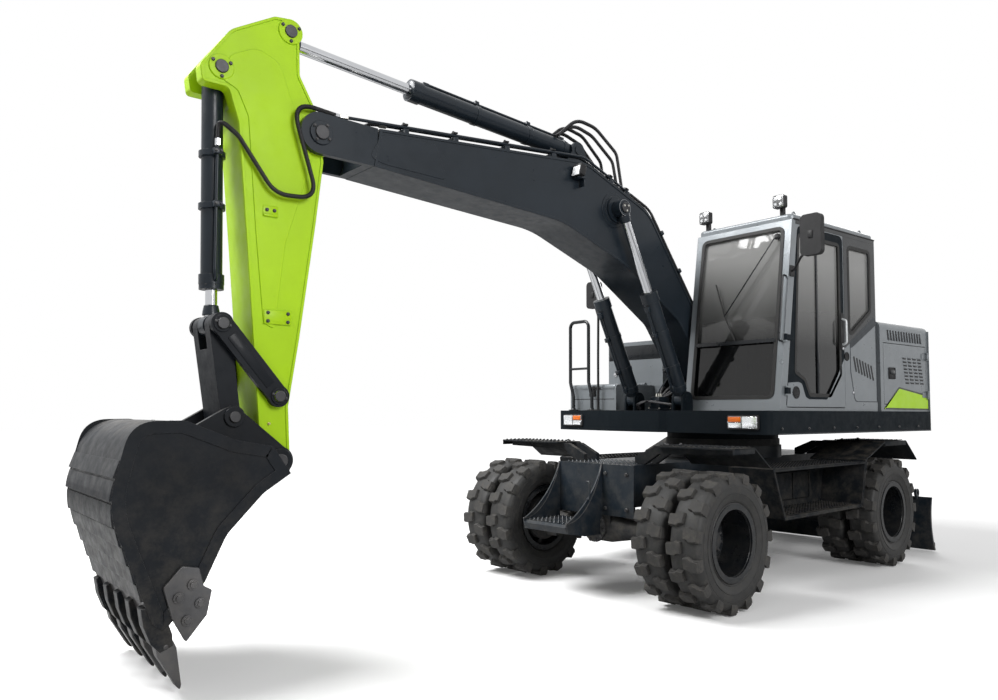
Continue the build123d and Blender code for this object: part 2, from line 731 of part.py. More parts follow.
with BuildPart() as hood_door:
    with BuildSketch(across(hood_half)):
        with Locations(((door_front_x + door_rear_x) / 2, (door_low + door_high) / 2)):
            Rectangle(door_front_x - door_rear_x - 2 * joint_gap, door_high - door_low - 2 * joint_gap)
    extrude(amount=hood_wall)
    for z in door_hinge_zs:
        with BuildSketch(Plane.XY.offset(z)):
            with Locations((door_rear_x - 5, hood_half + hinge_stand)):
                Circle(hinge_barrel)
            with Locations((door_rear_x + 45, hood_half + 0.3 + leaf / 2)):
                Rectangle(100, leaf)
            with Locations((door_rear_x + 60, hood_half + leaf / 2)):
                Rectangle(70, leaf)
        extrude(amount=hinge_length / 2, both=True)
        with BuildSketch(Plane.XY.offset(z)):
            with Locations((door_rear_x - 5, hood_half + hinge_stand)):
                Circle(hinge_pin + pin_fit)
        extrude(amount=hinge_length / 2 + 1, both=True, mode=Mode.SUBTRACT)

save(hood_door, "hood_door")

with BuildPart() as engine:
    with BuildSketch(Plane.XY.offset(deck_top)):
        with Locations((-1290, 0)):
            Rectangle(620, 1300)
    extrude(amount=620)

save(engine, "engine")

# Tank and boxes on the right side
tank_rear = hood_front
tank_front = 330.0
tank_inner_y = -470.0
tank_outer_y = -1225.0
tank_top = 2200.0

tool_rear = tank_front + 10
tool_front = 900.0
tool_top = 1735.0
lid_height = 60.0
box_hinge_x = tool_rear + 6.0
box_hinge_z = tool_top + hinge_stand
box_hinge_ys = (-1080.0, -730.0)

with BuildPart() as tank:
    with BuildSketch(Plane.XY.offset(deck_top)):
        with Locations(((tank_rear + tank_front) / 2, (tank_inner_y + tank_outer_y) / 2)):
            Rectangle(tank_front - tank_rear, tank_inner_y - tank_outer_y)
    extrude(amount=tank_top - deck_top)
    fillet(tank.edges().filter_by(Axis.X).group_by(Axis.Z)[-1], 50)

    # lugs and pins that carry the lid of the tool box
    for y in box_hinge_ys:
        for end in (-1, 1):
            with BuildSketch(across(y + end * (hinge_length / 2 + 9))):
                with Locations(((tank_front + box_hinge_x) / 2, box_hinge_z)):
                    Rectangle(box_hinge_x - tank_front, 2 * hinge_barrel)
                with Locations((box_hinge_x, box_hinge_z)):
                    Circle(hinge_barrel)
            extrude(amount=6, both=True)
        with BuildSketch(across(y)):
            with Locations((box_hinge_x, box_hinge_z)):
                Circle(hinge_pin)
        extrude(amount=hinge_length / 2 + 10, both=True)

save(tank, "tank")


with BuildPart() as tool_box:
    with BuildSketch(Plane.XY.offset(deck_top)):
        with Locations(((tool_rear + tool_front) / 2, (tank_inner_y - 110 + tank_outer_y) / 2)):
            Rectangle(tool_front - tool_rear, tank_inner_y - 110 - tank_outer_y)
    extrude(amount=tool_top - lid_height - 0.3 - deck_top)
    with BuildSketch(Plane.XY.offset(deck_top + 15)):
        with Locations(((tool_rear + tool_front) / 2, (tank_inner_y - 110 + tank_outer_y) / 2)):
            Rectangle(tool_front - tool_rear - 30, tank_inner_y - 110 - tank_outer_y - 30)
    extrude(amount=tool_top, mode=Mode.SUBTRACT)

save(tool_box, "tool_box")

with BuildPart() as tool_box_lid:
    with BuildSketch(Plane.XY.offset(tool_top - lid_height)):
        with Locations(((tool_rear + tool_front) / 2, (tank_inner_y - 110 + tank_outer_y) / 2)):
            Rectangle(tool_front - tool_rear, tank_inner_y - 110 - tank_outer_y)
    extrude(amount=lid_height)
    fillet(tool_box_lid.edges().filter_by(Axis.Y).group_by(Axis.Z)[-1].sort_by(Axis.X)[-1], 40)

    for y in box_hinge_ys:
        with BuildSketch(across(y)):
            with Locations((box_hinge_x, box_hinge_z)):
                Circle(hinge_barrel)
            with Locations((box_hinge_x + 45, tool_top + leaf / 2)):
                Rectangle(100, leaf)
        extrude(amount=hinge_length / 2, both=True)
        with BuildSketch(across(y)):
            with Locations((box_hinge_x, box_hinge_z)):
                Circle(hinge_pin + pin_fit)
        extrude(amount=hinge_length / 2 + 1, both=True, mode=Mode.SUBTRACT)

save(tool_box_lid, "tool_box_lid")

# Cab: hollow, with its windows cut, the door and the panes apart
cab_inner_y = 238.0
cab_outer_y = 1210.0
cab_rear = -750.0
cab_floor = deck_top + 0.3
cab_front_low = 877.0
cab_front_high = 642.0
cab_roof = 3140.0
cab_wall = 45.0
cab_lean = (cab_front_low - cab_front_high) / (cab_roof - cab_floor)
roof_thickness = 55.0
pane = 8.0


def cab_face(z):
    """x of the leaning front of the cab at a height."""
    return cab_front_low - cab_lean * (z - cab_floor)


door_gap_front = 85.0
door_low_z = cab_floor + 25
door_high_z = 3045.0
door_rear = -165.0
cab_hinge_x = 800.0
cab_hinge_zs = (1640.0, 2080.0)
door_outline = ((cab_face(door_low_z) - door_gap_front, door_low_z), (cab_face(door_high_z) - door_gap_front, door_high_z),
                (door_rear, door_high_z), (door_rear, door_low_z))
door_radii = (30, 60, 60, 30)
quarter_outline = ((-260, 2960), (-640, 2960), (-640, 2410), (-260, 2160))
front_glass_low = 1580.0
front_glass_high = 3030.0
front_lean_angle = degrees(atan2(cab_front_low - cab_front_high, cab_roof - cab_floor))
front_plane = Plane(origin=(cab_front_low, (cab_inner_y + cab_outer_y) / 2, cab_floor), x_dir=(0, 1, 0),
                    z_dir=(cos(radians(front_lean_angle)), 0, sin(radians(front_lean_angle))))
front_glass_width = cab_outer_y - cab_inner_y - 130
front_glass_height = (front_glass_high - front_glass_low) / cos(radians(front_lean_angle))
front_glass_mid = (front_glass_high + front_glass_low - 2 * cab_floor) / 2 / cos(radians(front_lean_angle))

with BuildPart() as cab_frame:
    with BuildSketch(across((cab_inner_y + cab_outer_y) / 2)):
        with BuildLine():
            Polyline((cab_rear, cab_floor), (cab_front_low, cab_floor), (cab_face(cab_roof - roof_thickness), cab_roof - roof_thickness),
                     (cab_rear, cab_roof - roof_thickness), close=True)
        make_face()
    extrude(amount=(cab_outer_y - cab_inner_y) / 2, both=True)
    with BuildSketch(across((cab_inner_y + cab_outer_y) / 2)):
        with BuildLine():
            Polyline((cab_rear + cab_wall, cab_floor + cab_wall), (cab_front_low - cab_wall - 8, cab_floor + cab_wall),
                     (cab_face(cab_roof) - cab_wall, cab_roof), (cab_rear + cab_wall, cab_roof), close=True)
        make_face()
    extrude(amount=(cab_outer_y - cab_inner_y) / 2 - cab_wall, both=True, mode=Mode.SUBTRACT)
    # windscreen
    with BuildSketch(front_plane):
        with Locations((0, front_glass_mid)):
            RectangleRounded(front_glass_width, front_glass_height, 70)
    extrude(amount=90, both=True, mode=Mode.SUBTRACT)
    # door opening and rear quarter window
    with BuildSketch(across(cab_outer_y + 5)):
        with BuildLine():
            FilletPolyline(*door_outline, radius=door_radii, close=True)
        make_face()
        with BuildLine():
            FilletPolyline(*quarter_outline, radius=40, close=True)
        make_face()
    extrude(amount=cab_wall + 10, mode=Mode.SUBTRACT)
    # right window and rear window
    with BuildSketch(across(cab_inner_y - 5)):
        with BuildLine():
            FilletPolyline((-600, 2000), (640, 2000), (520, 2960), (-600, 2960), radius=60, close=True)
        make_face()
    extrude(amount=-cab_wall - 10, mode=Mode.SUBTRACT)
    with BuildSketch(Plane.YZ.offset(cab_rear - 5)):
        with Locations(((cab_inner_y + cab_outer_y) / 2, 2680)):
            RectangleRounded(700, 560, 60)
    extrude(amount=cab_wall + 10, mode=Mode.SUBTRACT)
    for z in cab_hinge_zs:
        for end in (-1, 1):
            with BuildSketch(Plane.XY.offset(z + end * (hinge_length / 2 + 9))):
                with Locations((cab_hinge_x - 10, cab_outer_y + hinge_stand / 2)):
                    Rectangle(2 * hinge_barrel + 20, hinge_stand)
                with Locations((cab_hinge_x, cab_outer_y + hinge_stand)):
                    Circle(hinge_barrel)
            extrude(amount=6, both=True)
        with BuildSketch(Plane.XY.offset(z)):
            with Locations((cab_hinge_x, cab_outer_y + hinge_stand)):
                Circle(hinge_pin)
        extrude(amount=hinge_length / 2 + 10, both=True)

save(cab_frame, "cab_frame")

with BuildPart() as cab_top:
    with BuildSketch(Plane.XY.offset(cab_roof - roof_thickness)):
        with Locations(((cab_rear + cab_front_high) / 2 + 5, (cab_inner_y + cab_outer_y) / 2)):
            RectangleRounded(cab_front_high - cab_rear, cab_outer_y - cab_inner_y, 60)
    extrude(amount=roof_thickness)
    fillet(cab_top.faces().sort_by(Axis.Z)[-1].edges(), 25)

save(cab_top, "cab_roof")

with BuildPart() as cab_glass:
    inset = 0.3
    with BuildSketch(front_plane.offset(-30)):
        with Locations((0, front_glass_mid)):
            RectangleRounded(front_glass_width - 2 * inset, front_glass_height - 2 * inset, 70 - inset)
    extrude(amount=pane)
    with BuildSketch(across(cab_outer_y - 15)):
        with BuildLine():
            FilletPolyline(*quarter_outline, radius=40, close=True)
        make_face()
        offset(amount=-inset, mode=Mode.REPLACE)
    extrude(amount=pane)
    with BuildSketch(across(cab_inner_y + 15)):
        with BuildLine():
            FilletPolyline((-600, 2000), (640, 2000), (520, 2960), (-600, 2960), radius=60, close=True)
        make_face()
        offset(amount=-inset, mode=Mode.REPLACE)
    extrude(amount=-pane)
    with BuildSketch(Plane.YZ.offset(cab_rear + 15)):
        with Locations(((cab_inner_y + cab_outer_y) / 2, 2680)):
            RectangleRounded(700 - 2 * inset, 560 - 2 * inset, 60 - inset)
    extrude(amount=pane)

save(cab_glass, "cab_glass")

door_pane = ((640, 1800), (560, 2960), (-90, 2960), (-90, 1800), (90, 1610), (420, 1610), (500, 1740))

with BuildPart() as cab_door:
    with BuildSketch(across(cab_outer_y)):
        with BuildLine():
            FilletPolyline(*door_outline, radius=door_radii, close=True)
        make_face()
        offset(amount=-joint_gap, mode=Mode.REPLACE)
    extrude(amount=cab_wall)
    with BuildSketch(across(cab_outer_y + 5)):
        with BuildLine():
            FilletPolyline(*door_pane, radius=30, close=True)
        make_face()
    extrude(amount=cab_wall + 10, mode=Mode.SUBTRACT)
    for z in cab_hinge_zs:
        edge = cab_face(z) - door_gap_front - joint_gap
        with BuildSketch(Plane.XY.offset(z)):
            with Locations((cab_hinge_x, cab_outer_y + hinge_stand)):
                Circle(hinge_barrel)
            with Locations(((cab_hinge_x + edge - 40) / 2, cab_outer_y + 0.3 + leaf / 2)):
                Rectangle(cab_hinge_x - edge + 40, leaf)
            with Locations((edge - 25, cab_outer_y + leaf / 2)):
                Rectangle(30, leaf)
        extrude(amount=hinge_length / 2, both=True)
        with BuildSketch(Plane.XY.offset(z)):
            with Locations((cab_hinge_x, cab_outer_y + hinge_stand)):
                Circle(hinge_pin + pin_fit)
        extrude(amount=hinge_length / 2 + 1, both=True, mode=Mode.SUBTRACT)

save(cab_door, "cab_door")

with BuildPart() as door_glass:
    with BuildSketch(across(cab_outer_y - 15)):
        with BuildLine():
            FilletPolyline(*door_pane, radius=30, close=True)
        make_face()
        offset(amount=-inset, mode=Mode.REPLACE)
    extrude(amount=pane)

save(door_glass, "door_glass")

# Inside the cab
seat_x = -150.0
cab_mid_y = (cab_inner_y + cab_outer_y) / 2
floor_top = cab_floor + cab_wall

with BuildPart() as seat:
    with BuildSketch(across(cab_mid_y)):
        with BuildLine():
            FilletPolyline(
                (seat_x + 270, floor_top + 330), (seat_x + 260, floor_top + 450), (seat_x - 130, floor_top + 430),
                (seat_x - 290, floor_top + 1090), (seat_x - 390, floor_top + 1070), (seat_x - 260, floor_top + 330),
                radius=35, close=True)
        make_face()
    extrude(amount=245, both=True)

save(seat, "seat")

with BuildPart() as seat_base:
    with BuildSketch(Plane.XY.offset(floor_top)):
        with Locations((seat_x, cab_mid_y)):
            Rectangle(380, 360)
    extrude(amount=330 - 0.3)
    for side in (1, -1):
        with BuildSketch(across(cab_mid_y + side * 325)):
            with BuildLine():
                FilletPolyline(
                    (seat_x + 330, floor_top), (seat_x + 380, floor_top + 560), (seat_x + 200, floor_top + 600),
                    (seat_x - 200, floor_top + 560), (seat_x - 200, floor_top), radius=25, close=True)
            make_face()
        extrude(amount=62, both=True)

save(seat_base, "cab_consoles")

with BuildPart() as steering_column:
    column_base = (560.0, floor_top)
    column_top = (390.0, floor_top + 640)
    run = hypot(column_top[0] - column_base[0], column_top[1] - column_base[1])
    lean = ((column_top[0] - column_base[0]) / run, 0, (column_top[1] - column_base[1]) / run)
    with BuildSketch(Plane.XY.offset(floor_top)):
        with Locations((column_base[0], cab_mid_y)):
            Rectangle(150, 160)
    extrude(amount=60)
    with BuildSketch(Plane(origin=(column_base[0], cab_mid_y, column_base[1] + 10), z_dir=lean)):
        Circle(38)
    extrude(amount=run)
    wheel_plane = Plane(origin=(column_top[0], cab_mid_y, column_top[1] + 10), z_dir=lean)
    with BuildSketch(wheel_plane):
        Circle(175)
        Circle(150, mode=Mode.SUBTRACT)
        Rectangle(310, 40)
        Circle(45)
    extrude(amount=22)

save(steering_column, "steering_column")

# Handrail, mirrors and lamps
with BuildPart() as handrail:
    rail_x = 960.0
    with BuildLine() as rail_line:
        FilletPolyline(
            (rail_x, -1120, deck_top + 0.3), (rail_x, -1120, 1620), (rail_x, -1165, 1760), (rail_x, -1165, 2380),
            (rail_x, -900, 2380), (rail_x, -900, 1760), (rail_x, -855, 1620), (rail_x, -855, deck_top + 0.3), radius=60)
    with BuildSketch(Plane(origin=rail_line.line @ 0, z_dir=rail_line.line % 0)):
        Circle(17)
    sweep()
    with BuildSketch(Plane.XZ.offset(900)):
        with Locations((rail_x, 1900)):
            Circle(12)
    extrude(amount=265)
    with BuildSketch(Plane.XY.offset(deck_top + 0.3)):
        with Locations((rail_x, -1120), (rail_x, -855)):
            Circle(40)
    extrude(amount=10)

save(handrail, "handrail")

with BuildPart() as mirrors:
    with BuildSketch(Plane.YZ.offset(830)):
        with Locations((1510, 2870)):
            RectangleRounded(180, 330, 40)
    extrude(amount=55)
    with BuildSketch(across(cab_outer_y + 6.3)):
        with Locations((672, 2640)):
            Rectangle(60, 90)
    extrude(amount=6, both=True)
    with BuildLine() as left_arm:
        FilletPolyline((672, 1217, 2640), (740, 1290, 2650), (850, 1400, 2700), (850, 1490, 2790), radius=30)
    with BuildSketch(Plane(origin=left_arm.line @ 0, z_dir=left_arm.line % 0)):
        Circle(10)
    sweep()
    with BuildSketch(Plane.YZ.offset(900)):
        with Locations((-850, 2640)):
            RectangleRounded(170, 270, 40)
    extrude(amount=55)
    with BuildLine() as right_arm:
        FilletPolyline((925, -850, 2560), (930, -790, 2420), (950, -775, 2000), (950, -775, deck_top + 0.3), radius=30)
    with BuildSketch(Plane(origin=right_arm.line @ 0, z_dir=right_arm.line % 0)):
        Circle(12)
    sweep()
    with BuildSketch(Plane.XY.offset(deck_top + 0.3)):
        with Locations((950, -775)):
            Circle(32)
    extrude(amount=10)

save(mirrors, "mirrors")

with BuildPart() as head_lamps:
    for x, y, slant in ((1090.4, 1010, 0.0), (1091.4, -975, 0.1086)):
        with BuildSketch(Plane(origin=(x, y, 1380), x_dir=(slant, 1, 0), z_dir=(1, -slant, 0))):
            RectangleRounded(300, 120, 18)
        extrude(amount=14)

save(head_lamps, "head_lamps")

with BuildPart() as roof_lamps:
    for y in (330, 1100):
        with BuildSketch(Plane.YZ.offset(625)):
            with Locations((y, cab_roof + 110)):
                RectangleRounded(110, 110, 18)
        extrude(amount=50)
        with BuildSketch(Plane.XY.offset(cab_roof)):
            with Locations((610, y)):
                Rectangle(40, 30)
        extrude(amount=80)

save(roof_lamps, "roof_lamps")

with BuildPart() as exhaust:
    with BuildSketch(Plane.XY.offset(hood_top + 0.3)):
        with Locations((-816, 1000)):
            Rectangle(44, 150)
    extrude(amount=150)
    fillet(exhaust.edges().filter_by(Axis.Y).group_by(Axis.Z)[-1], 12)

save(exhaust, "exhaust")

# Boom
arm_pivot = (4435.0, 3238.0)
arm_eye = (4633.0, 3858.0)
arm_foot = (2048.0, 3658.0)
tip_radius = 135.0
arm_half_width = 150.0
ear_gap = arm_half_width + side_gap
slot_radius = 345.0
arm_pin = 45.0
lift_boss = 105.0
boom_outline = ((4010, 3362), (2071, 3526), (1290, 3225), (328, 1960), (532, 1800), (900, 2285), (1560, 2700),
                (2330, 2985), (4050, 3097))
boom_corner = (0, 500, 400, 0, 0, 250, 700, 900, 0)

with BuildPart() as boom:
    with BuildSketch(across(0)):
        with BuildLine():
            FilletPolyline(*boom_outline, radius=boom_corner, close=True)
        make_face()
    extrude(amount=boom_half_width, both=True)
    with BuildSketch(across(0)):
        with Locations(boom_foot):
            Circle(boom_foot_radius + 5)
    extrude(amount=foot_half_width, both=True)
    tip_top = tangent_side((4010, 3262), 100, arm_pivot, tip_radius, 1)
    tip_low = tangent_side((4010, 3195), 98, arm_pivot, tip_radius, -1)
    with BuildSketch(across(0)):
        with BuildLine():
            Polyline(tip_top[0], tip_top[1], tip_low[1], tip_low[0], close=True)
        make_face()
        with Locations(arm_pivot):
            Circle(tip_radius)
    extrude(amount=boom_half_width, both=True)
    with BuildSketch(across(0)):
        with Locations(arm_pivot):
            Circle(slot_radius)
    extrude(amount=ear_gap, both=True, mode=Mode.SUBTRACT)
    # bosses of the boom cylinders' pin
    with BuildSketch(across(0)):
        with Locations(lift_eye):
            Circle(lift_boss)
    extrude(amount=lift_y - lift_eye_half - side_gap, both=True)
    # fork for the foot of the arm cylinder
    for side in (1, -1):
        with BuildSketch(across(side * 75)):
            with BuildLine():
                Polyline((1880, 3470), (2215, 3490), (2090, 3680), (1990, 3690), close=True)
            make_face()
            with Locations(arm_foot):
                Circle(72)
        extrude(amount=12, both=True)
    with BuildSketch(across(0)):
        with Locations(boom_foot):
            Circle(45 + pin_fit)
    extrude(amount=boom_half_width + 20, both=True, mode=Mode.SUBTRACT)
    # pins of the arm and of the arm cylinder's foot
    with BuildSketch(across(0)):
        with Locations(arm_pivot):
            Circle(arm_pin)
    extrude(amount=boom_half_width + 25, both=True)
    with BuildSketch(across(0)):
        with Locations(arm_foot):
            Circle(lift_pin)
    extrude(amount=95, both=True)

save(boom, "boom")

lift_barrels, lift_rods = hydraulic_cylinder(
    lift_foot, lift_eye, (-lift_y, lift_y), 55, 13, 1020, 592, 37, lift_eye_half, lift_eye_half, lift_pin, 38)
save(lift_barrels, "boom_cylinder_barrels")
save(lift_rods, "boom_cylinder_rods")

arm_barrel, arm_rod = hydraulic_cylinder(
    arm_foot, arm_eye, (0,), 57, 14, 1620, 762, 40, 55, 50, lift_pin, 38)
save(arm_barrel, "arm_cylinder_barrel")
save(arm_rod, "arm_cylinder_rod")

# Arm
bucket_pivot = (4664.0, 1161.0)
rocker_pivot = (4678.0, 1551.0)
bucket_foot = (5061.0, 3513.0)
bucket_rod_pin = (5031.0, 1972.0)
link_pin = (4951.0, 1426.0)
arm_tip_radius = 88.0
arm_outline = ((4573, 3800), (4600, 3945), (4740, 3925), (5010, 3760), (5185, 3500), (5170, 3400), (5015, 3400),
               (4950, 3200), (4880, 2450), (4822, 1800), (4785, 1378), (4751, 1150), (4580, 1130), (4600, 1490),
               (4535, 1919), (4440, 2650), (4393, 3064), (4440, 3370), (4566, 3590))
arm_corner = (0, 80, 60, 150, 40, 30, 40, 60, 0, 0, 0, 0, 0, 0, 0, 0, 100, 60, 60)

with BuildPart() as arm:
    with BuildSketch(across(0)):
        with BuildLine():
            FilletPolyline(*arm_outline, radius=arm_corner, close=True)
        make_face()
        with Locations(arm_pivot):
            Circle(tip_radius)
        with Locations(bucket_pivot):
            Circle(arm_tip_radius)
    extrude(amount=arm_half_width, both=True)
    # corners beside the bucket's hinge are trimmed round
    with BuildSketch(across(0)):
        with Locations((4664, 1091)):
            Rectangle(260, 140)
        with Locations(bucket_pivot):
            Circle(arm_tip_radius, mode=Mode.SUBTRACT)
    extrude(amount=arm_half_width + 1, both=True, mode=Mode.SUBTRACT)
    # fork at the arm cylinder's eye and at the bucket cylinder's foot
    with BuildSketch(across(0)):
        with BuildLine():
            Polyline((4400, 3762), (4990, 3762), (5100, 3900), (4990, 4100), (4400, 4100), close=True)
        make_face()
    extrude(amount=62, both=True, mode=Mode.SUBTRACT)
    with BuildSketch(across(0)):
        with BuildLine():
            Polyline((4975, 3640), (5300, 3640), (5300, 3300), (4975, 3300), close=True)
        make_face()
    extrude(amount=66, both=True, mode=Mode.SUBTRACT)
    with BuildSketch(across(0)):
        with Locations(arm_pivot):
            Circle(arm_pin + pin_fit)
    extrude(amount=arm_half_width + 5, both=True, mode=Mode.SUBTRACT)
    # pins of the bucket cylinder's foot, of the rockers and of the bucket
    with BuildSketch(across(0)):
        with Locations(bucket_foot):
            Circle(lift_pin)
    extrude(amount=arm_half_width + 12, both=True)
    with BuildSketch(across(0)):
        with Locations(rocker_pivot):
            Circle(34)
    extrude(amount=218, both=True)
    with BuildSketch(across(0)):
        with Locations(bucket_pivot):
            Circle(38)
    extrude(amount=218, both=True)

save(arm, "arm")

bucket_barrel, bucket_rod = hydraulic_cylinder(
    bucket_foot, bucket_rod_pin, (0,), 50, 13, 1323, 186, 35, 58, 50, lift_pin, 34)
save(bucket_barrel, "bucket_cylinder_barrel")
save(bucket_rod, "bucket_cylinder_rod")

# Rockers, push link
rocker_y = 180.0
rocker_half = 18.0
link_half = 148.0

with BuildPart() as rockers:
    for side in (1, -1):
        high = tangent_side(rocker_pivot, 62, bucket_rod_pin, 62, 1)
        low = tangent_side(rocker_pivot, 62, bucket_rod_pin, 62, -1)
        with BuildSketch(across(side * rocker_y)):
            with BuildLine():
                Polyline(high[0], high[1], low[1], low[0], close=True)
            make_face()
            with Locations(rocker_pivot, bucket_rod_pin):
                Circle(66)
        extrude(amount=rocker_half, both=True)
        with BuildSketch(across(side * rocker_y)):
            with Locations(rocker_pivot):
                Circle(34 + pin_fit)
        extrude(amount=rocker_half + 1, both=True, mode=Mode.SUBTRACT)
        with BuildSketch(across(side * (60 + rocker_y + rocker_half + 12) / 2)):
            with Locations(bucket_rod_pin):
                Circle(34)
        extrude(amount=(rocker_y + rocker_half + 12 - 60) / 2, both=True)

save(rockers, "rockers")

with BuildPart() as push_link:
    high = tangent_side(link_pin, 58, bucket_rod_pin, 62, 1)
    low = tangent_side(link_pin, 58, bucket_rod_pin, 62, -1)
    with BuildSketch(across(0)):
        with BuildLine():
            Polyline(high[0], high[1], low[1], low[0], close=True)
        make_face()
        with Locations(link_pin):
            Circle(58)
        with Locations(bucket_rod_pin):
            Circle(62)
    extrude(amount=link_half, both=True)
    with BuildSketch(across(0)):
        with Locations(bucket_rod_pin):
            Circle(150)
    extrude(amount=66, both=True, mode=Mode.SUBTRACT)
    with BuildSketch(across(0)):
        with Locations(bucket_rod_pin):
            Circle(34 + pin_fit)
    extrude(amount=link_half + 1, both=True, mode=Mode.SUBTRACT)
    # lifting eye at the lower end
    lift_eye_centre = (5035.0, 1500.0)

save(push_link, "push_link")

# Bucket: rolled shell, side plates, ears, teeth
bucket_half = 525.0
bucket_plate = 22.0
bucket_outline = ((4745, 1110), (4850, 1262), (5060, 1300), (5330, 1408), (5590, 1405), (5690, 980), (5462, 385),
                  (5405, 345), (5213, 555), (5100, 800), (4900, 1010))
bucket_corner = (0, 40, 200, 120, 220, 500, 0, 0, 150, 200, 150)
ear_y = 180.0
ear_half = 18.0
lip_along = (-0.358, 0, -0.934)
tooth_count = 5
tooth_width = 70.0

with BuildPart() as bucket:
    with BuildSketch(across(0)):
        with BuildLine():
            FilletPolyline(*bucket_outline, radius=bucket_corner, close=True)
        make_face()
    extrude(amount=bucket_half, both=True)
    with BuildSketch(across(0)) as hollow:
        with BuildLine():
            FilletPolyline(*bucket_outline, radius=bucket_corner, close=True)
        make_face()
        offset(amount=-bucket_plate, kind=Kind.INTERSECTION, mode=Mode.REPLACE)
        with BuildLine():
            Polyline((4770, 1108), (4880, 1200), (5100, 1000), (5400, 420), (5360, 340), (5100, 500), (4700, 900), close=True)
        make_face()
    extrude(amount=bucket_half - bucket_plate, both=True, mode=Mode.SUBTRACT)
    # the arm's tip turns between the ears
    with BuildSketch(across(0)):
        with Locations(bucket_pivot):
            Circle(arm_tip_radius + 14)
    extrude(amount=ear_y - ear_half, both=True, mode=Mode.SUBTRACT)
    for side in (1, -1):
        with BuildSketch(across(side * ear_y)):
            with BuildLine():
                Polyline((4600, 1100), (4664, 1085), (4850, 1180), (5250, 1350), (5180, 1372), (4995, 1480), (4915, 1470), (4610, 1220), close=True)
            make_face()
            with Locations(bucket_pivot):
                Circle(84)
            with Locations(link_pin):
                Circle(66)
        extrude(amount=ear_half, both=True)
        with BuildSketch(across(side * ear_y)):
            with Locations(bucket_pivot):
                Circle(38 + pin_fit)
        extrude(amount=ear_half + 1, both=True, mode=Mode.SUBTRACT)
        with BuildSketch(across(side * (ear_y + 5))):
            with Locations(link_pin):
                Circle(34)
        extrude(amount=ear_half + 5, both=True)
    pitch = (2 * bucket_half - 110) / (tooth_count - 1)
    for index in range(tooth_count):
        tooth_y = -bucket_half + 55 + index * pitch
        with BuildSketch(Plane(origin=(5434, tooth_y, 365), x_dir=lip_along, z_dir=(0, -1, 0))):
            with BuildLine():
                Polyline((-70, -45), (60, -48), (345, -4), (360, 6), (345, 16), (60, 52), (-70, 50), close=True)
            make_face()
        extrude(amount=tooth_width / 2, both=True)

save(bucket, "bucket")

blade_barrels, blade_rods = hydraulic_cylinder(
    blade_cyl_foot, blade_lug, (-blade_cyl_y, blade_cyl_y), 35, 9, 412, 277, 22, blade_eye_half, blade_eye_half, 22, 18)
save(blade_barrels, "blade_cylinder_barrels", chassis_turn)
save(blade_rods, "blade_cylinder_rods", chassis_turn)
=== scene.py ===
import json
from math import cos, hypot, pi, radians, sin, sqrt, tan

import bmesh
import bpy
from mathutils import Matrix, Vector

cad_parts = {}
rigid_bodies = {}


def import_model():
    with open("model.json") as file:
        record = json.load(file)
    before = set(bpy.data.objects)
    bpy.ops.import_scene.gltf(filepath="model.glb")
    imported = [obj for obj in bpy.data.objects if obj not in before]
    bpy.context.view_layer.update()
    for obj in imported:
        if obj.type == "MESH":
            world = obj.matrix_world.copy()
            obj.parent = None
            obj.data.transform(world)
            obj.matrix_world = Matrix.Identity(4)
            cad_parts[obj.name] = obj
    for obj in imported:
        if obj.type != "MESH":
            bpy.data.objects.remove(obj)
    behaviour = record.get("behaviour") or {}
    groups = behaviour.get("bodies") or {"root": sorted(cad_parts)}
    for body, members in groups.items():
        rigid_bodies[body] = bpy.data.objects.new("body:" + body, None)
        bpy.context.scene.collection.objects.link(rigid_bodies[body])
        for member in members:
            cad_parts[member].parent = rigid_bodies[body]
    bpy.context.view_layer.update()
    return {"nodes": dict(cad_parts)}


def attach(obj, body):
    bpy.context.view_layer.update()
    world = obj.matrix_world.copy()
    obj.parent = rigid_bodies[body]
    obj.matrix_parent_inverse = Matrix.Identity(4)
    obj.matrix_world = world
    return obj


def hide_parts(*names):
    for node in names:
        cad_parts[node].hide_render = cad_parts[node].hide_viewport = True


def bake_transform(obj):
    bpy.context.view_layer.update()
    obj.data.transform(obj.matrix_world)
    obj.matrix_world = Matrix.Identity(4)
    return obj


for leftOver in list(bpy.data.objects):
    bpy.data.objects.remove(leftOver)

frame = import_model()
nodes = frame["nodes"]
print("frame loaded:", len(nodes), "nodes")

chassisTurn = Matrix.Rotation(radians(3.5), 4, "Z")     # the chassis stands turned under the house

# pins across the machine, in millimetres along and up
pins = {"boomFoot": (430, 1880), "liftFoot": (960, 1575), "lift": (1735, 3175), "armFoot": (2048, 3658), "tip": (4435, 3238),
        "armEye": (4633, 3858), "bucketFoot": (5061, 3513), "rockerEye": (5031, 1972), "rocker": (4678, 1551),
        "bucketEar": (4951, 1426), "bucketHinge": (4664, 1161)}


def fill(tree, node, inputs):
    # inputs are values, outputs of other nodes, or lists of outputs
    for key, value in inputs.items():
        if isinstance(value, (bpy.types.NodeSocket, list)):
            for output in value if isinstance(value, list) else [value]:
                tree.links.new(output, node.inputs[key])
        else:
            node.inputs[key].default_value = value
    return node


def addNode(tree, kind, inputs=None, **settings):
    node = tree.nodes.new(kind)
    for key, value in settings.items():
        setattr(node, key, value)
    return fill(tree, node, inputs or {})


def nodeTree(name):
    material = bpy.data.materials.new(name)
    material.use_nodes = True
    tree = material.node_tree
    tree.nodes.clear()
    shader = addNode(tree, "ShaderNodeBsdfPrincipled")
    addNode(tree, "ShaderNodeOutputMaterial", {0: shader.outputs[0]})
    return material, tree, shader, objectPlace(tree)


def objectPlace(tree):
    return addNode(tree, "ShaderNodeTexCoord").outputs["Object"]


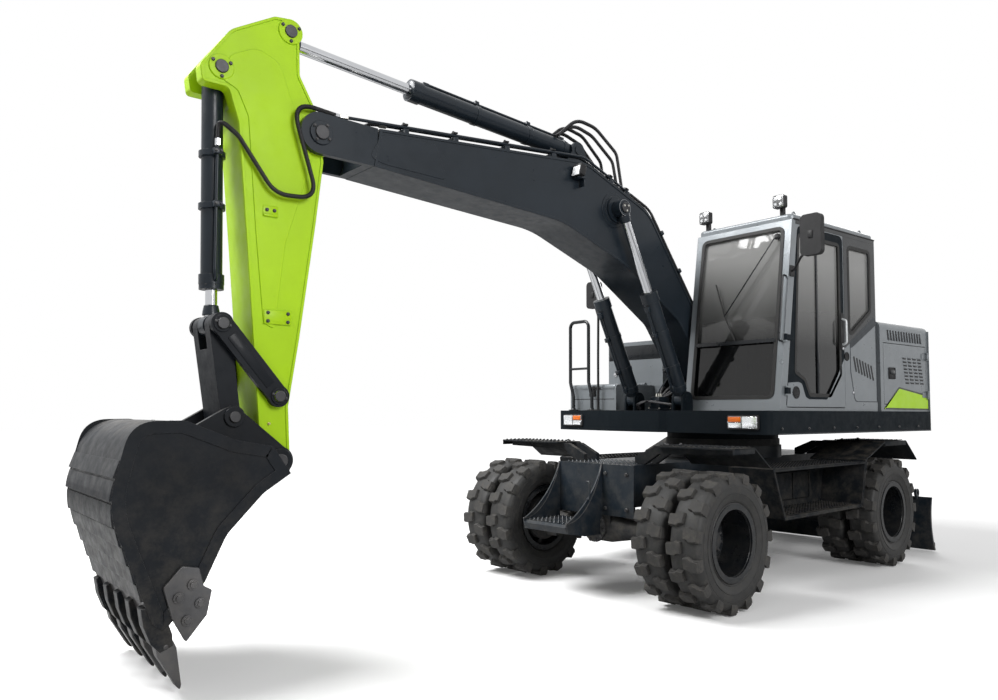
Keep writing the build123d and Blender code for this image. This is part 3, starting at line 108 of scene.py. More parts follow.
def noiseOf(tree, place, scale, detail=4.0, roughness=0.6, distortion=0.0):
    return addNode(tree, "ShaderNodeTexNoise", {"Vector": place, "Scale": scale, "Detail": detail, "Roughness": roughness,
                                                "Distortion": distortion}).outputs["Fac"]


def span(tree, value, low, high, to0=0.0, to1=1.0):
    return addNode(tree, "ShaderNodeMapRange", {"Value": value, "From Min": low, "From Max": high, "To Min": to0,
                                                "To Max": to1}).outputs["Result"]


def maths(tree, operation, *values):
    return addNode(tree, "ShaderNodeMath", dict(enumerate(values)), operation=operation).outputs[0]


def axisOf(tree, vector, axis):
    return addNode(tree, "ShaderNodeSeparateXYZ", {0: vector}).outputs[axis]


def blendColour(tree, share, a, b):
    a, b = [(*colour, 1.0) if isinstance(colour, tuple) else colour for colour in (a, b)]
    return addNode(tree, "ShaderNodeMix", {"Factor": share, 6: a, 7: b}, data_type="RGBA").outputs[2]


def bumpOf(tree, strength, distance, height, **more):
    return addNode(tree, "ShaderNodeBump", {"Strength": strength, "Distance": distance, "Height": height, **more}).outputs[0]


def scaled(colour, share):
    return tuple(min(1.0, c * share) for c in colour)


dustTone = (0.23, 0.2, 0.16)
wearRadius = 0.004


def edgeMask(tree):
    # the bevelled normal leaves the flat one only near an edge
    bevel = addNode(tree, "ShaderNodeBevel", {"Radius": wearRadius}, samples=4).outputs[0]
    flat = addNode(tree, "ShaderNodeNewGeometry").outputs["Normal"]
    dot = addNode(tree, "ShaderNodeVectorMath", {0: bevel, 1: flat}, operation="DOT_PRODUCT").outputs["Value"]
    return span(tree, dot, 0.995, 0.75), bevel


def paintOf(name, colour, roughness=0.35, metallic=0.0, coat=0.0, vary=0.12, dust=0.0, wear=0.0, wearColour=(0.35, 0.36, 0.38),
            grain=0.02, grainScale=420.0, streaks=0.0, specular=0.5):
    material, tree, shader, place = nodeTree(name)
    broad = span(tree, noiseOf(tree, place, 2.3, 5.0), 0.35, 0.65)
    fine = span(tree, noiseOf(tree, place, 34.0, 6.0, 0.7), 0.6, 0.82, 0.0, 0.35)
    shade = blendColour(tree, broad, scaled(colour, 1.0 - vary), scaled(colour, 1.0 + vary))
    shade = blendColour(tree, fine, shade, scaled(colour, 0.7))
    if streaks:
        squeezed = addNode(tree, "ShaderNodeMapping", {"Vector": place, "Scale": (1.0, 1.0, 0.06)}).outputs[0]
        runs = noiseOf(tree, squeezed, 30.0, 4.0, 0.6)
        shade = blendColour(tree, span(tree, runs, 0.55, 0.8, 0.0, streaks), shade, dustTone)
    if dust:
        # dust gathers low down and on the upper faces
        low = span(tree, axisOf(tree, place, "Z"), 1.5, 0.1)
        normal = addNode(tree, "ShaderNodeNewGeometry").outputs["Normal"]
        top = span(tree, axisOf(tree, normal, "Z"), 0.55, 1.0)
        grime = span(tree, noiseOf(tree, place, 9.0, 6.0, 0.75), 0.42, 0.7, 0.0, dust)
        both = maths(tree, "MAXIMUM", maths(tree, "MULTIPLY", low, 0.6), maths(tree, "MULTIPLY", top, 0.8))
        shade = blendColour(tree, maths(tree, "MULTIPLY", both, grime), shade, dustTone)
    bevelled = {}
    if wear:
        mask, bevel = edgeMask(tree)
        chips = span(tree, noiseOf(tree, place, 60.0, 5.0, 0.8), 0.42, 0.62, 0.0, wear)
        shade = blendColour(tree, maths(tree, "MULTIPLY", mask, chips), shade, wearColour)
        bevelled["Normal"] = bevel
    gloss = noiseOf(tree, place, 12.0, 5.0, 0.65)
    fill(tree, shader, {
        "Base Color": shade, "Metallic": metallic, "Coat Weight": coat, "Coat Roughness": 0.12, "Specular IOR Level": specular,
        "Roughness": span(tree, gloss, 0.3, 0.7, max(0.03, roughness * 0.75), min(1.0, roughness * 1.3)),
        "Normal": bumpOf(tree, grain * 10, 0.0008, noiseOf(tree, place, grainScale, 2.0), **bevelled)})
    return material


def glassOf(name, colour, roughness, through):
    material, tree, shader, place = nodeTree(name)
    film = noiseOf(tree, place, 6.0, 5.0, 0.6)
    fill(tree, shader, {
        "Base Color": blendColour(tree, span(tree, film, 0.3, 0.7), scaled(colour, 0.9), colour),
        "Roughness": span(tree, film, 0.35, 0.75, roughness, roughness * 2.2), "Transmission Weight": through, "IOR": 1.45})
    return material


def screenOf(name, colour, paintedReflection, opacity):
    # a tinted pane: gloss on top, part of what is behind shows, and toward its top the tint blends into a painted
    # reflection
    material, tree, shader, place = nodeTree(name)
    film = noiseOf(tree, place, 5.0, 4.0, 0.6)
    low = blendColour(tree, span(tree, film, 0.3, 0.7), scaled(colour, 0.8), colour)
    fill(tree, shader, {
        "Base Color": blendColour(tree, span(tree, axisOf(tree, place, "Z"), 2.02, 2.78), low, paintedReflection),
        "Roughness": span(tree, film, 0.35, 0.75, 0.03, 0.07), "Alpha": opacity})
    return material


def rubberOf(name, colour, roughness, dust):
    material, tree, shader, place = nodeTree(name)
    broad = span(tree, noiseOf(tree, place, 7.0, 6.0, 0.7), 0.3, 0.7)
    dirt = noiseOf(tree, place, 18.0, 7.0, 0.8, 0.4)
    shade = blendColour(tree, broad, scaled(colour, 0.75), scaled(colour, 1.3))
    fill(tree, shader, {
        "Base Color": blendColour(tree, span(tree, dirt, 0.48, 0.75, 0.0, dust), shade, (0.11, 0.1, 0.085)),
        "Roughness": span(tree, dirt, 0.3, 0.7, roughness * 0.8, min(1.0, roughness * 1.2)), "Specular IOR Level": 0.35,
        "Normal": bumpOf(tree, 0.35, 0.002, noiseOf(tree, place, 140.0, 5.0, 0.7))})
    return material


def clothOf(name, colour, weave=900.0):
    material, tree, shader, place = nodeTree(name)
    broad = noiseOf(tree, place, 14.0, 4.0)
    threads = addNode(tree, "ShaderNodeTexVoronoi", {"Scale": weave, "Vector": place}).outputs["Distance"]
    fill(tree, shader, {
        "Base Color": blendColour(tree, span(tree, broad, 0.3, 0.7), scaled(colour, 0.8), scaled(colour, 1.25)),
        "Roughness": span(tree, broad, 0.3, 0.7, 0.8, 0.95), "Sheen Weight": 0.25,
        "Normal": bumpOf(tree, 0.3, 0.0006, threads)})
    return material


paints = {
    "limePaint": dict(colour=(0.385, 0.63, 0.006), roughness=0.38, specular=0.22, vary=0.05, wear=0.3,
                      wearColour=(0.16, 0.24, 0.02), grain=0.006),
    "darkPaint": dict(colour=(0.0095, 0.0145, 0.0205), roughness=0.36, specular=0.2, coat=0.15, dust=0.35, wear=0.5,
                      wearColour=(0.12, 0.125, 0.135), grain=0.008),
    "deepPaint": dict(colour=(0.005, 0.0078, 0.0105), roughness=0.5, specular=0.06, vary=0.1, dust=0.12, wear=0.4,
                      wearColour=(0.08, 0.085, 0.09), grain=0.01),
    "darkMatt": dict(colour=(0.008, 0.010, 0.0125), roughness=0.6, specular=0.12, vary=0.15, dust=0.5, wear=0.4,
                     wearColour=(0.1, 0.1, 0.105), grain=0.04, grainScale=260.0),
    "silverPaint": dict(colour=(0.168, 0.184, 0.197), roughness=0.34, specular=0.28, metallic=0.25, coat=0.3, vary=0.05,
                        wear=0.15, wearColour=(0.2, 0.21, 0.22), grain=0.006, streaks=0.1),
    "silverLight": dict(colour=(0.52, 0.54, 0.55), roughness=0.34, metallic=0.2, coat=0.3, vary=0.04, grain=0.006),
    "blackPaint": dict(colour=(0.007, 0.0085, 0.0105), roughness=0.3, specular=0.22, coat=0.3, vary=0.15, dust=0.15, wear=0.3,
                       wearColour=(0.06, 0.06, 0.065), grain=0.008),
    "blackPlastic": dict(colour=(0.017, 0.017, 0.018), roughness=0.5, specular=0.2, vary=0.15, dust=0.2, grain=0.09,
                         grainScale=700.0),
    "blackSteel": dict(colour=(0.05, 0.05, 0.052), roughness=0.42, metallic=0.8, vary=0.2, dust=0.2, wear=0.4,
                       wearColour=(0.3, 0.3, 0.3), grain=0.04),
    "chrome": dict(colour=(0.55, 0.56, 0.58), roughness=0.12, metallic=1.0, vary=0.04, grain=0.004),
    "castIron": dict(colour=(0.035, 0.036, 0.038), roughness=0.62, specular=0.2, metallic=0.3, vary=0.25, dust=0.5, grain=0.12,
                     grainScale=160.0),
    "wornSteel": dict(colour=(0.075, 0.075, 0.078), roughness=0.42, metallic=0.75, vary=0.3, dust=0.35, wear=0.7,
                      wearColour=(0.35, 0.34, 0.33), grain=0.08, grainScale=120.0),
    "bucketPaint": dict(colour=(0.0075, 0.0092, 0.012), roughness=0.45, specular=0.12, coat=0.06, vary=0.2, dust=0.3, wear=0.8,
                        wearColour=(0.13, 0.13, 0.135), grain=0.05, grainScale=90.0),
    "reflector": dict(colour=(0.85, 0.86, 0.87), roughness=0.16, metallic=1.0, vary=0.05),
    "lampGlow": dict(colour=(0.86, 0.87, 0.88), roughness=0.4, vary=0.06),
    "mirrorFace": dict(colour=(0.75, 0.77, 0.8), roughness=0.05, metallic=1.0, vary=0.03),
    "seatVinyl": dict(colour=(0.018, 0.018, 0.019), roughness=0.48, vary=0.15, grain=0.1, grainScale=500.0),
    "limeTape": dict(colour=(0.36, 0.60, 0.012), roughness=0.4, vary=0.05),
    "darkTape": dict(colour=(0.035, 0.04, 0.03), roughness=0.45, vary=0.1),
    "brassFitting": dict(colour=(0.5, 0.42, 0.24), roughness=0.32, metallic=1.0),
    "zincFitting": dict(colour=(0.55, 0.54, 0.50), roughness=0.33, metallic=1.0, vary=0.15, dust=0.2),
    # near-black: the real colour of grille bars, seams and lamp surrounds, and a painted shade where it fills hand
    # holes, louvres, vents and slots
    "blackMesh": dict(colour=(0.008, 0.008, 0.009), roughness=0.6, vary=0.1),
}
finishes = {name: paintOf(name, **values) for name, values in paints.items()}
finishes.update({name: rubberOf(name, *values) for name, values in {
    "treadRubber": ((0.032, 0.031, 0.030), 0.72, 0.6), "sideRubber": ((0.020, 0.020, 0.020), 0.58, 0.3),
    "hoseRubber": ((0.016, 0.016, 0.018), 0.45, 0.15), "sealRubber": ((0.012, 0.012, 0.012), 0.6, 0.1)}.items()})
finishes.update({name: glassOf(name, *values) for name, values in {
    "lensWhite": ((0.93, 0.94, 0.95), 0.06, 0.85), "lensAmber": ((0.95, 0.22, 0.02), 0.08, 0.5),
    "lensRed": ((0.75, 0.02, 0.015), 0.08, 0.4)}.items()})
# the pale grey is a painted reflection that lightens the dark tint toward the pane's top
finishes["tintedGlass"] = screenOf("tintedGlass", (0.004, 0.0042, 0.0045), (0.25, 0.25, 0.245), 0.84)
finishes["seatCloth"] = clothOf("seatCloth", (0.035, 0.036, 0.04))
print("materials made:", len(finishes))

nodeFinish = {
    "darkPaint": "boom boom_cylinder_barrels arm_cylinder_barrel bucket_cylinder_barrel blade blade_cylinder_barrels "
                 "chassis_frame front_step blade_pins",
    "darkMatt": "side_boxes front_fenders rear_fenders cab_consoles",
    "bucketPaint": "bucket rockers push_link",
    "limePaint": "arm",
    "silverPaint": "hood hood_lid hood_door counterweight tank tool_box tool_box_lid cab_frame cab_roof",
    "deepPaint": "cab_door deck revolving_frame",
    "blackPaint": "handrail exhaust rims_front_left rims_front_right rims_rear_left rims_rear_right",
    "blackPlastic": "mirrors steering_column head_lamps roof_lamps",
    "castIron": "front_axle rear_axle drive_line engine steering_knuckle_left steering_knuckle_right slew_ring",
    "chrome": "boom_cylinder_rods arm_cylinder_rod bucket_cylinder_rod blade_cylinder_rods",
    "tintedGlass": "cab_glass door_glass",
    "seatVinyl": "seat",
    "sideRubber": "tyres_front_left tyres_front_right tyres_rear_left tyres_rear_right",
}
for finish, names in nodeFinish.items():
    for name in names.split():
        for socket in nodes[name].material_slots:
            socket.material = finishes[finish]


def link(obj):
    bpy.context.scene.collection.objects.link(obj)
    return obj


def meshObject(name, points, faces, finish, smooth=False):
    mesh = bpy.data.meshes.new(name)
    mesh.from_pydata([tuple(p) for p in points], [], faces)
    mesh.update()
    mesh.materials.append(finishes[finish])
    if smooth:
        mesh.shade_smooth()
    return link(bpy.data.objects.new(name, mesh))


def fromBuild(name, build, finish):
    mesh = bpy.data.meshes.new(name)
    build.to_mesh(mesh)
    build.free()
    mesh.materials.append(finishes[finish])
    return link(bpy.data.objects.new(name, mesh))


def fixNormals(obj):
    build = bmesh.new()
    build.from_mesh(obj.data)
    bmesh.ops.recalc_face_normals(build, faces=build.faces)
    build.to_mesh(obj.data)
    build.free()
    return obj


def smoothBy(obj, angle):
    bpy.context.view_layer.update()
    obj.data.shade_smooth()
    obj.data.set_sharp_from_angle(angle=radians(angle))
    return obj


def applied(obj):
    bpy.context.view_layer.update()
    mesh = bpy.data.meshes.new_from_object(obj.evaluated_get(bpy.context.evaluated_depsgraph_get()))
    obj.modifiers.clear()
    old, obj.data = obj.data, mesh
    bpy.data.meshes.remove(old)
    return obj


def joined(name, parts):
    # several meshes, one object; their materials come along
    build, slots = bmesh.new(), []
    for part in parts:
        start, mesh = len(build.faces), part.data
        build.from_mesh(mesh)
        build.faces.ensure_lookup_table()
        for face in build.faces[start:]:
            material = mesh.materials[face.material_index]
            if material not in slots:
                slots.append(material)
            face.material_index = slots.index(material)
        bpy.data.objects.remove(part)
        if mesh.users == 0:
            bpy.data.meshes.remove(mesh)
    whole = bpy.data.meshes.new(name)
    build.to_mesh(whole)
    build.free()
    for material in slots:
        whole.materials.append(material)
    return link(bpy.data.objects.new(name, whole))


def made(*rows):
    # each row is a maker and what it is called with
    return [make(*values) for make, *values in rows]


def frameFrom(origin, along, side=(0, 0, 1)):
    # matrix whose Z runs along the direction and whose X is as near side as it can be
    z = Vector(along).normalized()
    x = Vector(side) - z * z.dot(Vector(side))
    if x.length < 1e-4:
        x = Vector((1, 0, 0)) - z * z.x
    x.normalize()
    m = Matrix((x, z.cross(x), z)).transposed().to_4x4()
    m.translation = Vector(origin)
    return m


def circle(radius, count, start=0.0, more=0):
    # points round a circle, in two coordinates
    angles = [2 * pi * i / count + start for i in range(count + more)]
    return [(radius * cos(a), radius * sin(a)) for a in angles]


def ringPath(radius, y, count):
    return [(x, y, z) for x, z in circle(radius, count, 0.0, 1)]


def slab(name, size, at, finish, bevel=0.004, along=(0, 0, 1), side=(1, 0, 0), segments=2):
    build = bmesh.new()
    bmesh.ops.create_cube(build, size=1.0)
    bmesh.ops.scale(build, vec=Vector(size), verts=build.verts)
    if bevel:
        bmesh.ops.bevel(build, geom=list(build.edges), offset=bevel, segments=segments, profile=0.5, affect="EDGES")
    obj = fromBuild(name, build, finish)
    obj.data.transform(frameFrom(at, along, side))
    return smoothBy(obj, 35)


def lofted(name, points, around, finish, place, angle):
    # rings of points one after the other, closed at both ends
    rows = len(points) // around
    faces = [(r * around + i, r * around + (i + 1) % around, (r + 1) * around + (i + 1) % around, (r + 1) * around + i)
             for r in range(rows - 1) for i in range(around)]
    faces += [tuple(range(around))[::-1], tuple((rows - 1) * around + i for i in range(around))]
    obj = meshObject(name, points, faces, finish)
    obj.data.transform(place)
    return smoothBy(obj, angle)


def turned(name, profile, at, along, finish, steps=32):
    # revolves (radius, height) pairs
    points = [(x, y, height) for radius, height in profile for x, y in circle(radius, steps)]
    return lofted(name, points, steps, finish, frameFrom(at, along), 35)


def discY(name, centre, radius, y0, y1, finish, steps=36, chamfer=0.003):
    # a round boss or pin across the machine, centre in millimetres
    low, high = min(y0, y1), max(y0, y1)
    c = min(chamfer, (high - low) * 0.4)
    profile = [(radius - c, 0.0), (radius, c), (radius, high - low - c), (radius - c, high - low)]
    return turned(name, profile, (centre[0] * 0.001, low, centre[1] * 0.001), (0, 1, 0), finish, steps)


def tube(name, path, radius, finish, around=12):
    path = [Vector(p) for p in path]
    points = []
    normal = (path[1] - path[0]).normalized().orthogonal().normalized()
    for i, p in enumerate(path):
        ahead = path[min(i + 1, len(path) - 1)] - path[max(i - 1, 0)]
        ahead.normalize()
        normal = (normal - ahead * normal.dot(ahead)).normalized()
        binormal = ahead.cross(normal)
        points += [p + (normal * x + binormal * y) * radius for x, y in circle(1.0, around)]
    return lofted(name, points, around, finish, Matrix(), 50)


def cornerPoints(before, corner, after, radius, share, steps):
    a, b = before - corner, after - corner
    reach = min(radius / tan(a.angle(b) / 2), a.length * share, b.length * share)
    start, end = corner + a.normalized() * reach, corner + b.normalized() * reach
    return [start * (1 - t) ** 2 + corner * 2 * t * (1 - t) + end * t ** 2 for t in (i / steps for i in range(steps + 1))]


def rounded(points, radius, steps=6):
    # the path with its corners rounded
    points = [Vector(p) for p in points]
    if not isinstance(radius, list):
        radius = [radius] * (len(points) - 2)
    path = [points[0]]
    for before, corner, after, r in zip(points, points[1:], points[2:], radius):
        path += cornerPoints(before, corner, after, r, 0.49, steps)
    return path + [points[-1]]


def roundCorners(points, radii, steps=5):
    # closed outline in millimetres, corners rounded, given back in metres
    points = [Vector(p) for p in points]
    radii = radii if isinstance(radii, list) else [radii] * len(points)
    out = []
    for before, corner, after, r in zip(points[-1:] + points[:-1], points, points[1:] + points[:1], radii):
        out += [p * 0.001 for p in (cornerPoints(before, corner, after, r, 0.48, steps) if r > 0 else [corner])]
    return out


def grown(outline, amount):
    # the outline moved outwards by an amount; negative moves it inwards
    area = sum(a.x * b.y - b.x * a.y for a, b in zip(outline, outline[1:] + outline[:1]))
    sign = 1 if area > 0 else -1
    out = []
    for before, point, after in zip(outline[-1:] + outline[:-1], outline, outline[1:] + outline[:1]):
        a, b = point - before, after - point
        if a.length < 1e-7 or b.length < 1e-7:
            a = b = after - before
        a, b = a.normalized(), b.normalized()
        n = Vector((a.y + b.y, -a.x - b.x)) * sign
        if n.length < 1e-6:
            n = Vector((a.y, -a.x)) * sign
        n.normalize()
        lean = max(0.35, n.dot(Vector((a.y, -a.x)) * sign))
        out.append(point + n * amount / lean)
    return out


def prism(name, outline, y0, y1, finish, bevel=0.002):
    # an outline in the side view, pulled from one side to the other
    build = bmesh.new()
    low, high = [[build.verts.new((p.x, y, p.y)) for p in outline] for y in sorted((y0, y1))]
    build.faces.new(low)
    build.faces.new(high[::-1])
    for i in range(len(low)):
        j = (i + 1) % len(low)
        build.faces.new((low[i], high[i], high[j], low[j]))
    bmesh.ops.recalc_face_normals(build, faces=build.faces)
    if bevel:
        rims = [e for e in build.edges if all(len(f.verts) >= 4 for f in e.link_faces) and
                (all(v in low for v in e.verts) or all(v in high for v in e.verts))]
        bmesh.ops.bevel(build, geom=rims, offset=bevel, segments=1, profile=0.5, affect="EDGES")
    bmesh.ops.triangulate(build, faces=[f for f in build.faces if len(f.verts) > 4])
    return smoothBy(fromBuild(name, build, finish), 30)


def hoop(name, outer, inner, y0, y1, finish):
    # a flat frame between two outlines with the same number of points
    points = [(p.x, y, p.y) for y in sorted((y0, y1)) for line in (outer, inner) for p in line]
    faces, n = [], len(outer)
    for i in range(n):
        j = (i + 1) % n
        faces += [(i, j, n + j, n + i), (2 * n + i, 3 * n + i, 3 * n + j, 2 * n + j),
                  (i, 2 * n + i, 2 * n + j, j), (n + i, n + j, 3 * n + j, 3 * n + i)]
    return smoothBy(fixNormals(meshObject(name, points, faces, finish)), 30)


def newTree(name, inputs):
    # whole numbers and decimals become inputs of their kind, and every tree takes a finish
    tree = bpy.data.node_groups.new(name, "GeometryNodeTree")
    for way in ("INPUT", "OUTPUT"):
        tree.interface.new_socket("Geometry", in_out=way, socket_type="NodeSocketGeometry")
    for label, value in inputs.items():
        kind = "NodeSocketInt" if isinstance(value, int) else "NodeSocketFloat"
        tree.interface.new_socket(label, in_out="INPUT", socket_type=kind).default_value = value
    tree.interface.new_socket("Finish", in_out="INPUT", socket_type="NodeSocketMaterial")
    return tree, tree.nodes.new("NodeGroupInput").outputs


def closeTree(tree, start, points, instance, rotation=None, smooth=False):
    # copies on the points, made real, with their finish
    put = addNode(tree, "GeometryNodeInstanceOnPoints", {"Points": points, "Instance": instance})
    if rotation:
        fill(tree, put, {"Rotation": rotation})
    shape = addNode(tree, "GeometryNodeRealizeInstances", {0: put.outputs[0]}).outputs[0]
    if smooth:
        shape = addNode(tree, "GeometryNodeSetShadeSmooth", {0: shape}).outputs[0]
    colour = addNode(tree, "GeometryNodeSetMaterial", {"Geometry": shape, "Material": start["Finish"]})
    addNode(tree, "NodeGroupOutput", {0: colour.outputs[0]})
    return tree


def boltTree():
    # a head and its washer on every point, turned by chance
    tree, start = newTree("boltHeads", {"Across": 0.012, "Height": 0.008, "Washer": 0.014, "Sides": 6, "Seed": 7})
    head = addNode(tree, "GeometryNodeMeshCone", {
        "Vertices": start["Sides"], "Radius Bottom": start["Across"], "Depth": start["Height"],
        "Radius Top": maths(tree, "MULTIPLY", start["Across"], 0.93)})
    washer = addNode(tree, "GeometryNodeMeshCylinder", {
        "Vertices": 20, "Radius": start["Washer"], "Depth": maths(tree, "MULTIPLY", start["Height"], 0.36)})
    both = addNode(tree, "GeometryNodeJoinGeometry", {0: [head.outputs["Mesh"], washer.outputs["Mesh"]]})
    normal = addNode(tree, "GeometryNodeInputNamedAttribute", {"Name": "outward"}, data_type="FLOAT_VECTOR")
    aim = addNode(tree, "FunctionNodeAlignRotationToVector", {"Vector": normal.outputs["Attribute"]}, axis="Z")
    chance = addNode(tree, "FunctionNodeRandomValue", {3: 1.0, "Seed": start["Seed"]}, data_type="FLOAT")
    turnBy = addNode(tree, "FunctionNodeAxisAngleToRotation", {"Axis": (0, 0, 1), "Angle": chance.outputs[1]})
    facing = addNode(tree, "FunctionNodeRotateRotation", {"Rotation": aim.outputs[0], "Rotate By": turnBy.outputs[0]},
                    rotation_space="LOCAL")
    return closeTree(tree, start, start["Geometry"], both.outputs[0], facing.outputs[0])


def ringTree():
    # rings along a path: the ribs of a hose
    tree, start = newTree("ringsOnPath", {"Radius": 0.01, "Thickness": 0.002, "Pitch": 0.01})
    curve = addNode(tree, "GeometryNodeMeshToCurve", {0: start["Geometry"]})
    steps = addNode(tree, "GeometryNodeCurveToPoints", {"Curve": curve.outputs[0], "Length": start["Pitch"]}, mode="LENGTH")
    ring, wire = [addNode(tree, "GeometryNodeCurvePrimitiveCircle", {"Resolution": count, "Radius": start[radius]})
                  for count, radius in ((14, "Radius"), (5, "Thickness"))]
    body = addNode(tree, "GeometryNodeCurveToMesh", {"Curve": ring.outputs[0], "Profile Curve": wire.outputs[0]})
    return closeTree(tree, start, steps.outputs["Points"], body.outputs[0], steps.outputs["Rotation"], True)


def spinTree():
    # copies of a mesh round the Y axis
    tree, start = newTree("copiesRoundAxle", {"Count": 15, "Start": 0.0})
    points = addNode(tree, "GeometryNodePoints", {"Count": start["Count"]})
    index = addNode(tree, "GeometryNodeInputIndex")
    angle = maths(tree, "MULTIPLY_ADD", index.outputs[0], maths(tree, "DIVIDE", 2 * pi, start["Count"]), start["Start"])
    rotation = addNode(tree, "FunctionNodeAxisAngleToRotation", {"Axis": (0, 1, 0), "Angle": angle})
    return closeTree(tree, start, points.outputs[0], start["Geometry"], rotation.outputs[0])


def gripTree():
    # round pressed grips in rows over a rectangle
    tree, start = newTree("treadGrips", {"Length": 1.0, "Width": 0.3, "Columns": 20, "Rows": 6, "Radius": 0.012})
    grid = addNode(tree, "GeometryNodeMeshGrid", {"Size X": start["Length"], "Size Y": start["Width"],
                                                  "Vertices X": start["Columns"], "Vertices Y": start["Rows"]})
    grip = addNode(tree, "GeometryNodeMeshCone", {"Vertices": 10, "Depth": 0.007, "Radius Bottom": start["Radius"],
                                                  "Radius Top": maths(tree, "MULTIPLY", start["Radius"], 0.6)})
    return closeTree(tree, start, grid.outputs["Mesh"], grip.outputs["Mesh"])


bolts, rings, spin, grips = boltTree(), ringTree(), spinTree(), gripTree()


def finished(name, obj, tree, values, finish):
    # inputs by identifier, then the evaluated result as a plain mesh
    modifier = obj.modifiers.new(tree.name, "NODES")
    modifier.node_group = tree
    identifiers = {item.name: item.identifier for item in tree.interface.items_tree if item.in_out == "INPUT"}
    for label, value in {**values, "Finish": finishes[finish]}.items():
        modifier[identifiers[label]] = value
    bpy.context.view_layer.update()
    mesh = bpy.data.meshes.new_from_object(obj.evaluated_get(bpy.context.evaluated_depsgraph_get()))
    obj.modifiers.remove(modifier)
    bpy.data.objects.remove(obj)
    mesh.name = name
    return link(bpy.data.objects.new(name, mesh))


def boltsAt(name, places, finish="blackSteel", across=0.012, height=0.009, washer=0.0, sides=6):
    # places are (point, outward direction)
    mesh = bpy.data.meshes.new(name + "Points")
    mesh.from_pydata([tuple(Vector(p) + Vector(n).normalized() * height * 0.5) for p, n in places], [], [])
    outward = mesh.attributes.new("outward", "FLOAT_VECTOR", "POINT")
    for i, (p, n) in enumerate(places):
        outward.data[i].vector = Vector(n).normalized()
    return finished(name, link(bpy.data.objects.new(name + "Points", mesh)), bolts, {
        "Across": across, "Height": height, "Washer": washer or across * 1.25, "Sides": sides, "Seed": len(places)}, finish)


def ringsAlong(name, path, radius, thickness, pitch, finish):
    mesh = bpy.data.meshes.new(name + "Path")
    mesh.from_pydata([tuple(p) for p in path], [(i, i + 1) for i in range(len(path) - 1)], [])
    obj = link(bpy.data.objects.new(name + "Path", mesh))
    return finished(name, obj, rings, {"Radius": radius, "Thickness": thickness, "Pitch": pitch}, finish)


def gripField(name, length, width, columns, rows, at, finish, radius=0.011):
    seed = link(bpy.data.objects.new(name + "Seed", bpy.data.meshes.new(name + "Seed")))
    obj = finished(name, seed, grips, {"Length": length, "Width": width, "Columns": columns, "Rows": rows,
                                       "Radius": radius}, finish)
    obj.data.transform(frameFrom(at, (0, 0, 1), (1, 0, 0)))
    return obj


def rideTurned(obj, body):
    # a piece drawn in the chassis's own line, turned with it
    obj.data.transform(chassisTurn)
    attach(obj, body)


def boltCircle(centre, radius, count, start, face, side):
    # places for bolts round a centre in millimetres, on a face across the machine
    return [((centre[0] * 0.001 + x, face, centre[1] * 0.001 + z), (0, side, 0)) for x, z in circle(radius, count, start)]


tyre = {"radius": 0.512, "base": 0.484, "half": 0.1275, "steps": 72, "lugs": 15, "lead": 0.25, "centres": (0.810, 1.120),
        "wallRings": ((0.305, 0.1105, 0.0022), (0.362, 0.1262, 0.0026), (0.415, 0.1265, 0.002)), "axle": 0.512,
        "front": 1.770, "rear": -1.030, "discFace": 0.977, "hubFace": 1.062, "nutCircle": 0.136, "nuts": 10}


def tyreCarcass(offset):
    half, base, steps = tyre["half"], tyre["base"], tyre["steps"]
    profile = [(0.262, -0.094), (0.292, -0.098), (0.298, -0.106), (0.318, -0.114), (0.345, -0.121), (0.352, -0.1245),
               (0.372, -0.1265), (0.400, -half), (0.430, -0.126), (0.456, -0.120), (0.474, -0.110), (0.482, -0.095),
               (base, -0.05), (base, 0.0)]
    profile += [(r, -h) for r, h in profile[-2::-1]]
    rows = len(profile)
    points = [(x, h + offset, z) for r, h in profile for x, z in circle(r, steps)]
    faces = [(k * steps + i, (k + 1) % rows * steps + i, (k + 1) % rows * steps + (i + 1) % steps, k * steps + (i + 1) % steps)
             for k in range(rows) for i in range(steps)]
    return fixNormals(meshObject("tyreCarcass", points, faces, "sideRubber", True))


def lugBlock(side, offset):
    # one tread block: foot in (round, across) pairs, then the shoulder that runs down the wall
    foot = ((-0.048, 0.008), (0.034, 0.008), (0.040, 0.040), (0.056, 0.060), (0.050, 0.126), (-0.030, 0.130), (-0.036, 0.078),
            (-0.055, 0.052))
    wall = ((0.098, 0.500), (0.120, 0.5035), (0.1300, 0.492), (0.1325, 0.466), (0.1300, 0.438), (0.122, 0.430), (0.100, 0.440))
    middle, wallFoot = 0.068, 0.45
    build = bmesh.new()
    rows = [[build.verts.new((t * scale, offset + side * (middle + (a - middle) * (0.5 + scale / 2)),
                              sqrt(max(radial ** 2 - t * t, 0.01)))) for t, a in foot]
            for radial, scale in ((tyre["base"] - 0.012, 1.06), (tyre["radius"] - 0.006, 0.93),
                                  (tyre["radius"] - 0.0012, 0.86))]
    for low, high in zip(rows, rows[1:]):
        for i in range(len(foot)):
            j = (i + 1) % len(foot)
            build.faces.new((low[i], low[j], high[j], high[i]))
    build.faces.new(rows[-1])
    near, far = [[build.verts.new((t + (inward if r < wallFoot else 0), offset + side * a, r - abs(t) * 0.04)) for a, r in wall]
                 for t, inward in ((-0.034, 0.006), (0.050, -0.006))]
    for i in range(len(wall)):
        j = (i + 1) % len(wall)
        build.faces.new((near[i], near[j], far[j], far[i]))
    build.faces.new(near[::-1])
    build.faces.new(far)
    bmesh.ops.recalc_face_normals(build, faces=build.faces)
    return fromBuild("lugBlock", build, "treadRubber")


